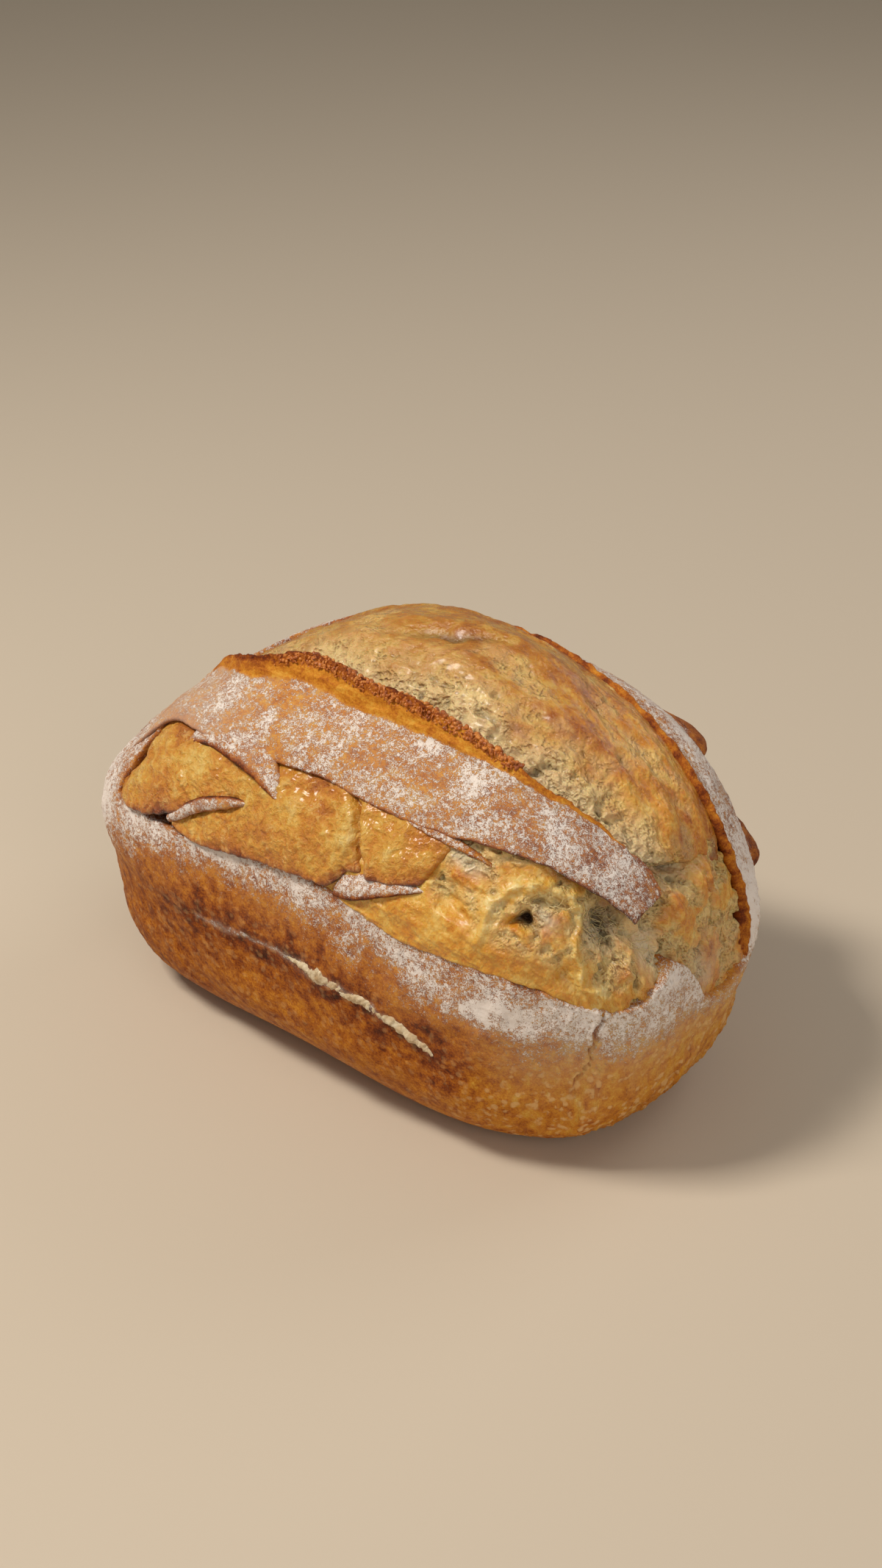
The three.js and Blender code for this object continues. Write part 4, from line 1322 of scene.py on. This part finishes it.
def finish_tree(tree, made, geometry, material):
    """Ends a tree in real geometry with its material."""
    real = add(tree, "GeometryNodeRealizeInstances", {0: geometry})
    smooth = add(tree, "GeometryNodeSetShadeSmooth", {0: real.outputs[0]})
    painted = add(tree, "GeometryNodeSetMaterial", {"Geometry": smooth.outputs[0], "Material": material})
    tree.links.new(painted.outputs[0], made.inputs["Geometry"])


def grown(name, source, tree, values):
    """The tree's result on a source object, as a plain mesh object. The source is removed."""
    modifier = source.modifiers.new(name, "NODES")
    modifier.node_group = tree
    for item in tree.interface.items_tree:
        if item.in_out == "INPUT" and item.name in values:
            modifier[item.identifier] = values[item.name]
    bpy.context.view_layer.update()
    evaluated = source.evaluated_get(bpy.context.evaluated_depsgraph_get())
    mesh = bpy.data.meshes.new_from_object(evaluated)
    mesh.name = name
    bpy.data.objects.remove(source)
    return new_object(name, mesh)


def path_object(name, paths):
    """A curve object with one poly spline for each path of points."""
    data = bpy.data.curves.new(name, "CURVE")
    data.dimensions = "3D"
    for path in paths:
        spline = data.splines.new("POLY")
        spline.points.add(len(path) - 1)
        spline.points.foreach_set("co", np.concatenate([path, np.ones((len(path), 1))], 1).ravel())
    return new_object(name, data)


def random_vector(tree, low, high, seed):
    inputs = {"Min": low, "Max": high, "Seed": seed}
    return add(tree, "FunctionNodeRandomValue", inputs, data_type="FLOAT_VECTOR").outputs[0]


def bead_tree(material):
    """Rough beads scattered along a path."""
    tree, given, made = geometry_tree("baked beads", [
        ("Count", "NodeSocketInt", 200), ("Size", "NodeSocketFloat", 0.0006),
        ("Scatter", "NodeSocketFloat", 0.0008), ("Seed", "NodeSocketInt", 1)])
    seed = given.outputs["Seed"]
    along = {"Curve": given.outputs["Geometry"], "Count": given.outputs["Count"]}
    points = add(tree, "GeometryNodeCurveToPoints", along, mode="COUNT")
    away = {0: random_vector(tree, (-1, -1, -1), (1, 1, 1), seed), "Scale": given.outputs["Scatter"]}
    moved = add(tree, "ShaderNodeVectorMath", away, operation="SCALE")
    offset = {"Geometry": points.outputs[0], "Offset": moved.outputs[0]}
    placed = add(tree, "GeometryNodeSetPosition", offset)
    bead = add(tree, "GeometryNodeMeshIcoSphere", {"Radius": given.outputs["Size"], "Subdivisions": 2})
    beads = add(tree, "GeometryNodeInstanceOnPoints", {
        "Points": placed.outputs[0], "Instance": bead.outputs[0],
        "Rotation": random_vector(tree, (0, 0, 0), (FULL_TURN, FULL_TURN, FULL_TURN), seed),
        "Scale": random_vector(tree, (0.3, 0.3, 0.3), (1.6, 1.5, 1.0), seed)})
    finish_tree(tree, made, beads.outputs[0], material)
    return tree


def strand_tree(material):
    """Thin round strands along paths, thicker at both ends."""
    tree, given, made = geometry_tree("gluten strands", [
        ("Radius", "NodeSocketFloat", 0.00016), ("Sides", "NodeSocketInt", 6)])
    place = add(tree, "GeometryNodeSplineParameter")
    middle = math_node(tree, "SUBTRACT", place.outputs["Factor"], 0.5)
    wide = multiplied(tree, multiplied(tree, middle, middle), 7.0)
    wide = math_node(tree, "ADD", wide, 0.6)
    sized = add(tree, "GeometryNodeSetCurveRadius", {"Curve": given.outputs["Geometry"], "Radius": wide})
    ring = add(tree, "GeometryNodeCurvePrimitiveCircle", {"Resolution": given.outputs["Sides"],
                                                          "Radius": given.outputs["Radius"]})
    tube = add(tree, "GeometryNodeCurveToMesh", {"Curve": sized.outputs[0], "Profile Curve": ring.outputs[0],
                                                 "Fill Caps": True})
    finish_tree(tree, made, tube.outputs[0], material)
    return tree


def plain_sheet(stations, u, v):
    """Chart places and lifts on a sheet's plain surface."""
    table = np.array(stations, dtype=float)
    row = through_weights(len(table), u) @ table
    lifts = (row[:, 4:] * through_weights(table.shape[1] - 4, v)).sum(1)
    return mix(row[:, 0], row[:, 2], v), mix(row[:, 1], row[:, 3], v), lifts


def field_level(x, y):
    """The torn field's lift at places on the chart, from the nearest point of its plain sheet."""
    u, v = np.meshgrid(np.linspace(0, 1, 90), np.linspace(0, 1, 70), indexing="ij")
    sheet_x, sheet_y, lifts = plain_sheet(TORN_FIELD, u.ravel(), v.ravel())
    nearest = np.argmin((x[:, None] - sheet_x) ** 2 + (y[:, None] - sheet_y) ** 2, axis=1)
    return lifts[nearest] + field_relief(x, y, 0, 0)


def crisp_beads():
    """Beads of crisp crust along the strip's raised edge."""
    u = np.linspace(0.29, 0.63, 60)
    paths = []
    for v, above in ((0.93, -0.1), (0.95, 0), (0.97, 0), (0.985, -0.4), (0.995, -1)):
        x, y, lifts = plain_sheet(STRIP, u, np.full_like(u, v))
        paths.append(raised(x, y, lifts + above))
    return grown("crisp_beads", path_object("bead_paths", paths), bead_tree(BEAD),
                 {"Count": 230, "Size": 0.0007, "Scatter": 0.0009, "Seed": 4})


def gluten_strands():
    """Strands of crumb pulled across the cavity under the strip's end and across the hollows."""
    draw = np.random.default_rng(STRAND_SEED)
    paths = []
    for place, reach, count in STRAND_PLACES:
        for _ in range(count):
            start = np.array(place) + draw.uniform(-1, 1, 2) * reach
            angle = draw.normal(math.radians(60), 0.5)
            end = start + np.array([math.cos(angle), math.sin(angle)]) * draw.uniform(3, 7)
            t = np.linspace(0, 1, 9)
            bend = draw.uniform(-1.6, 1.6, 2)
            x = mix(start[0], end[0], t) + bend[0] * np.sin(math.pi * t)
            y = mix(start[1], end[1], t) + bend[1] * np.sin(math.pi * t)
            level = field_level(x, y)
            lift = mix(level[0], level[-1], t) + draw.uniform(-0.4, 0.6) * np.sin(math.pi * t)
            paths.append(raised(x, y, np.maximum(lift, level - 0.4)))
    return grown("gluten_strands", path_object("strand_paths", paths), strand_tree(MEMBRANE),
                 {"Radius": 0.00007, "Sides": 5})


# Studio

FLOOR_REACH = 3.0
FLOOR_COLOUR = (198, 184, 166)
DAYLIGHT = (1.0, 0.94, 0.84, 1)
DAYLIGHT_STRENGTH = 0.24
# Name, place, target, size, power and colour
LAMPS = (
    ("key", (-0.38, -0.5, 1.05), (0, 0, 0.08), 0.26, 11.5, (1.0, 0.94, 0.84)),
    ("fill", (1.0, -0.5, 0.6), (0, 0, 0.06), 0.8, 3.6, (1.0, 0.96, 0.9)),
    ("back", (0.3, 1.0, 0.8), (0, 0, 0.06), 0.7, 3, (1.0, 0.98, 0.95)),
)


def studio():
    """A plain pale floor, soft daylight and three lamps."""
    floor_mesh = bpy.data.meshes.new("floor")
    corners = [(a * FLOOR_REACH, b * FLOOR_REACH, 0) for a, b in ((-1, -1), (1, -1), (1, 1), (-1, 1))]
    floor_mesh.from_pydata(corners, [], [(0, 1, 2, 3)])
    floor = new_object("floor", floor_mesh)
    material, tree, shader = new_material("pale floor")
    set_or_join(tree, shader, {"Base Color": srgb(*FLOOR_COLOUR), "Roughness": 0.85})
    floor_mesh.materials.append(material)
    world = bpy.data.worlds.new("studio")
    world.use_nodes = True
    world.node_tree.nodes["Background"].inputs[0].default_value = DAYLIGHT
    world.node_tree.nodes["Background"].inputs[1].default_value = DAYLIGHT_STRENGTH
    bpy.context.scene.world = world
    for values in LAMPS:
        lamp(*values)


def lamp(name, place, target, size, power, colour):
    light = bpy.data.lights.new(name, "AREA")
    light.size = size
    light.energy = power
    light.color = colour
    item = new_object(name, light)
    item.location = place
    aim = Vector(target) - Vector(place)
    item.rotation_euler = aim.to_track_quat("-Z", "Y").to_euler()


# The camera's angles, its distance in metres, and its target in the part's millimetres
CAMERA_AZIMUTH = math.radians(40.255)
CAMERA_ELEVATION = math.radians(31.0)
CAMERA_DISTANCE = 0.6847
CAMERA_TARGET = np.array([-2.74, 13.97, 70.68])
SENSOR = 36.0
FOCAL_PIXELS = 3000.0
PHOTO_HEIGHT = 2133.0


def camera():
    data = bpy.data.cameras.new("camera")
    data.sensor_width = SENSOR
    data.lens = FOCAL_PIXELS * SENSOR / PHOTO_HEIGHT
    item = new_object("camera", data)
    back = Vector((
        math.sin(CAMERA_AZIMUTH) * math.cos(CAMERA_ELEVATION),
        -math.cos(CAMERA_AZIMUTH) * math.cos(CAMERA_ELEVATION),
        math.sin(CAMERA_ELEVATION),
    ))
    item.location = Vector(((CAMERA_TARGET - BOX_MIDDLE) * METRE).tolist()) + back * CAMERA_DISTANCE
    item.rotation_euler = back.to_track_quat("Z", "Y").to_euler()
    bpy.context.scene.camera = item


camera()
studio()
for piece in loaf_pieces():
    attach(piece, BODY)
    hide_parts(NODE)
bpy.context.scene.view_settings.view_transform = "Standard"
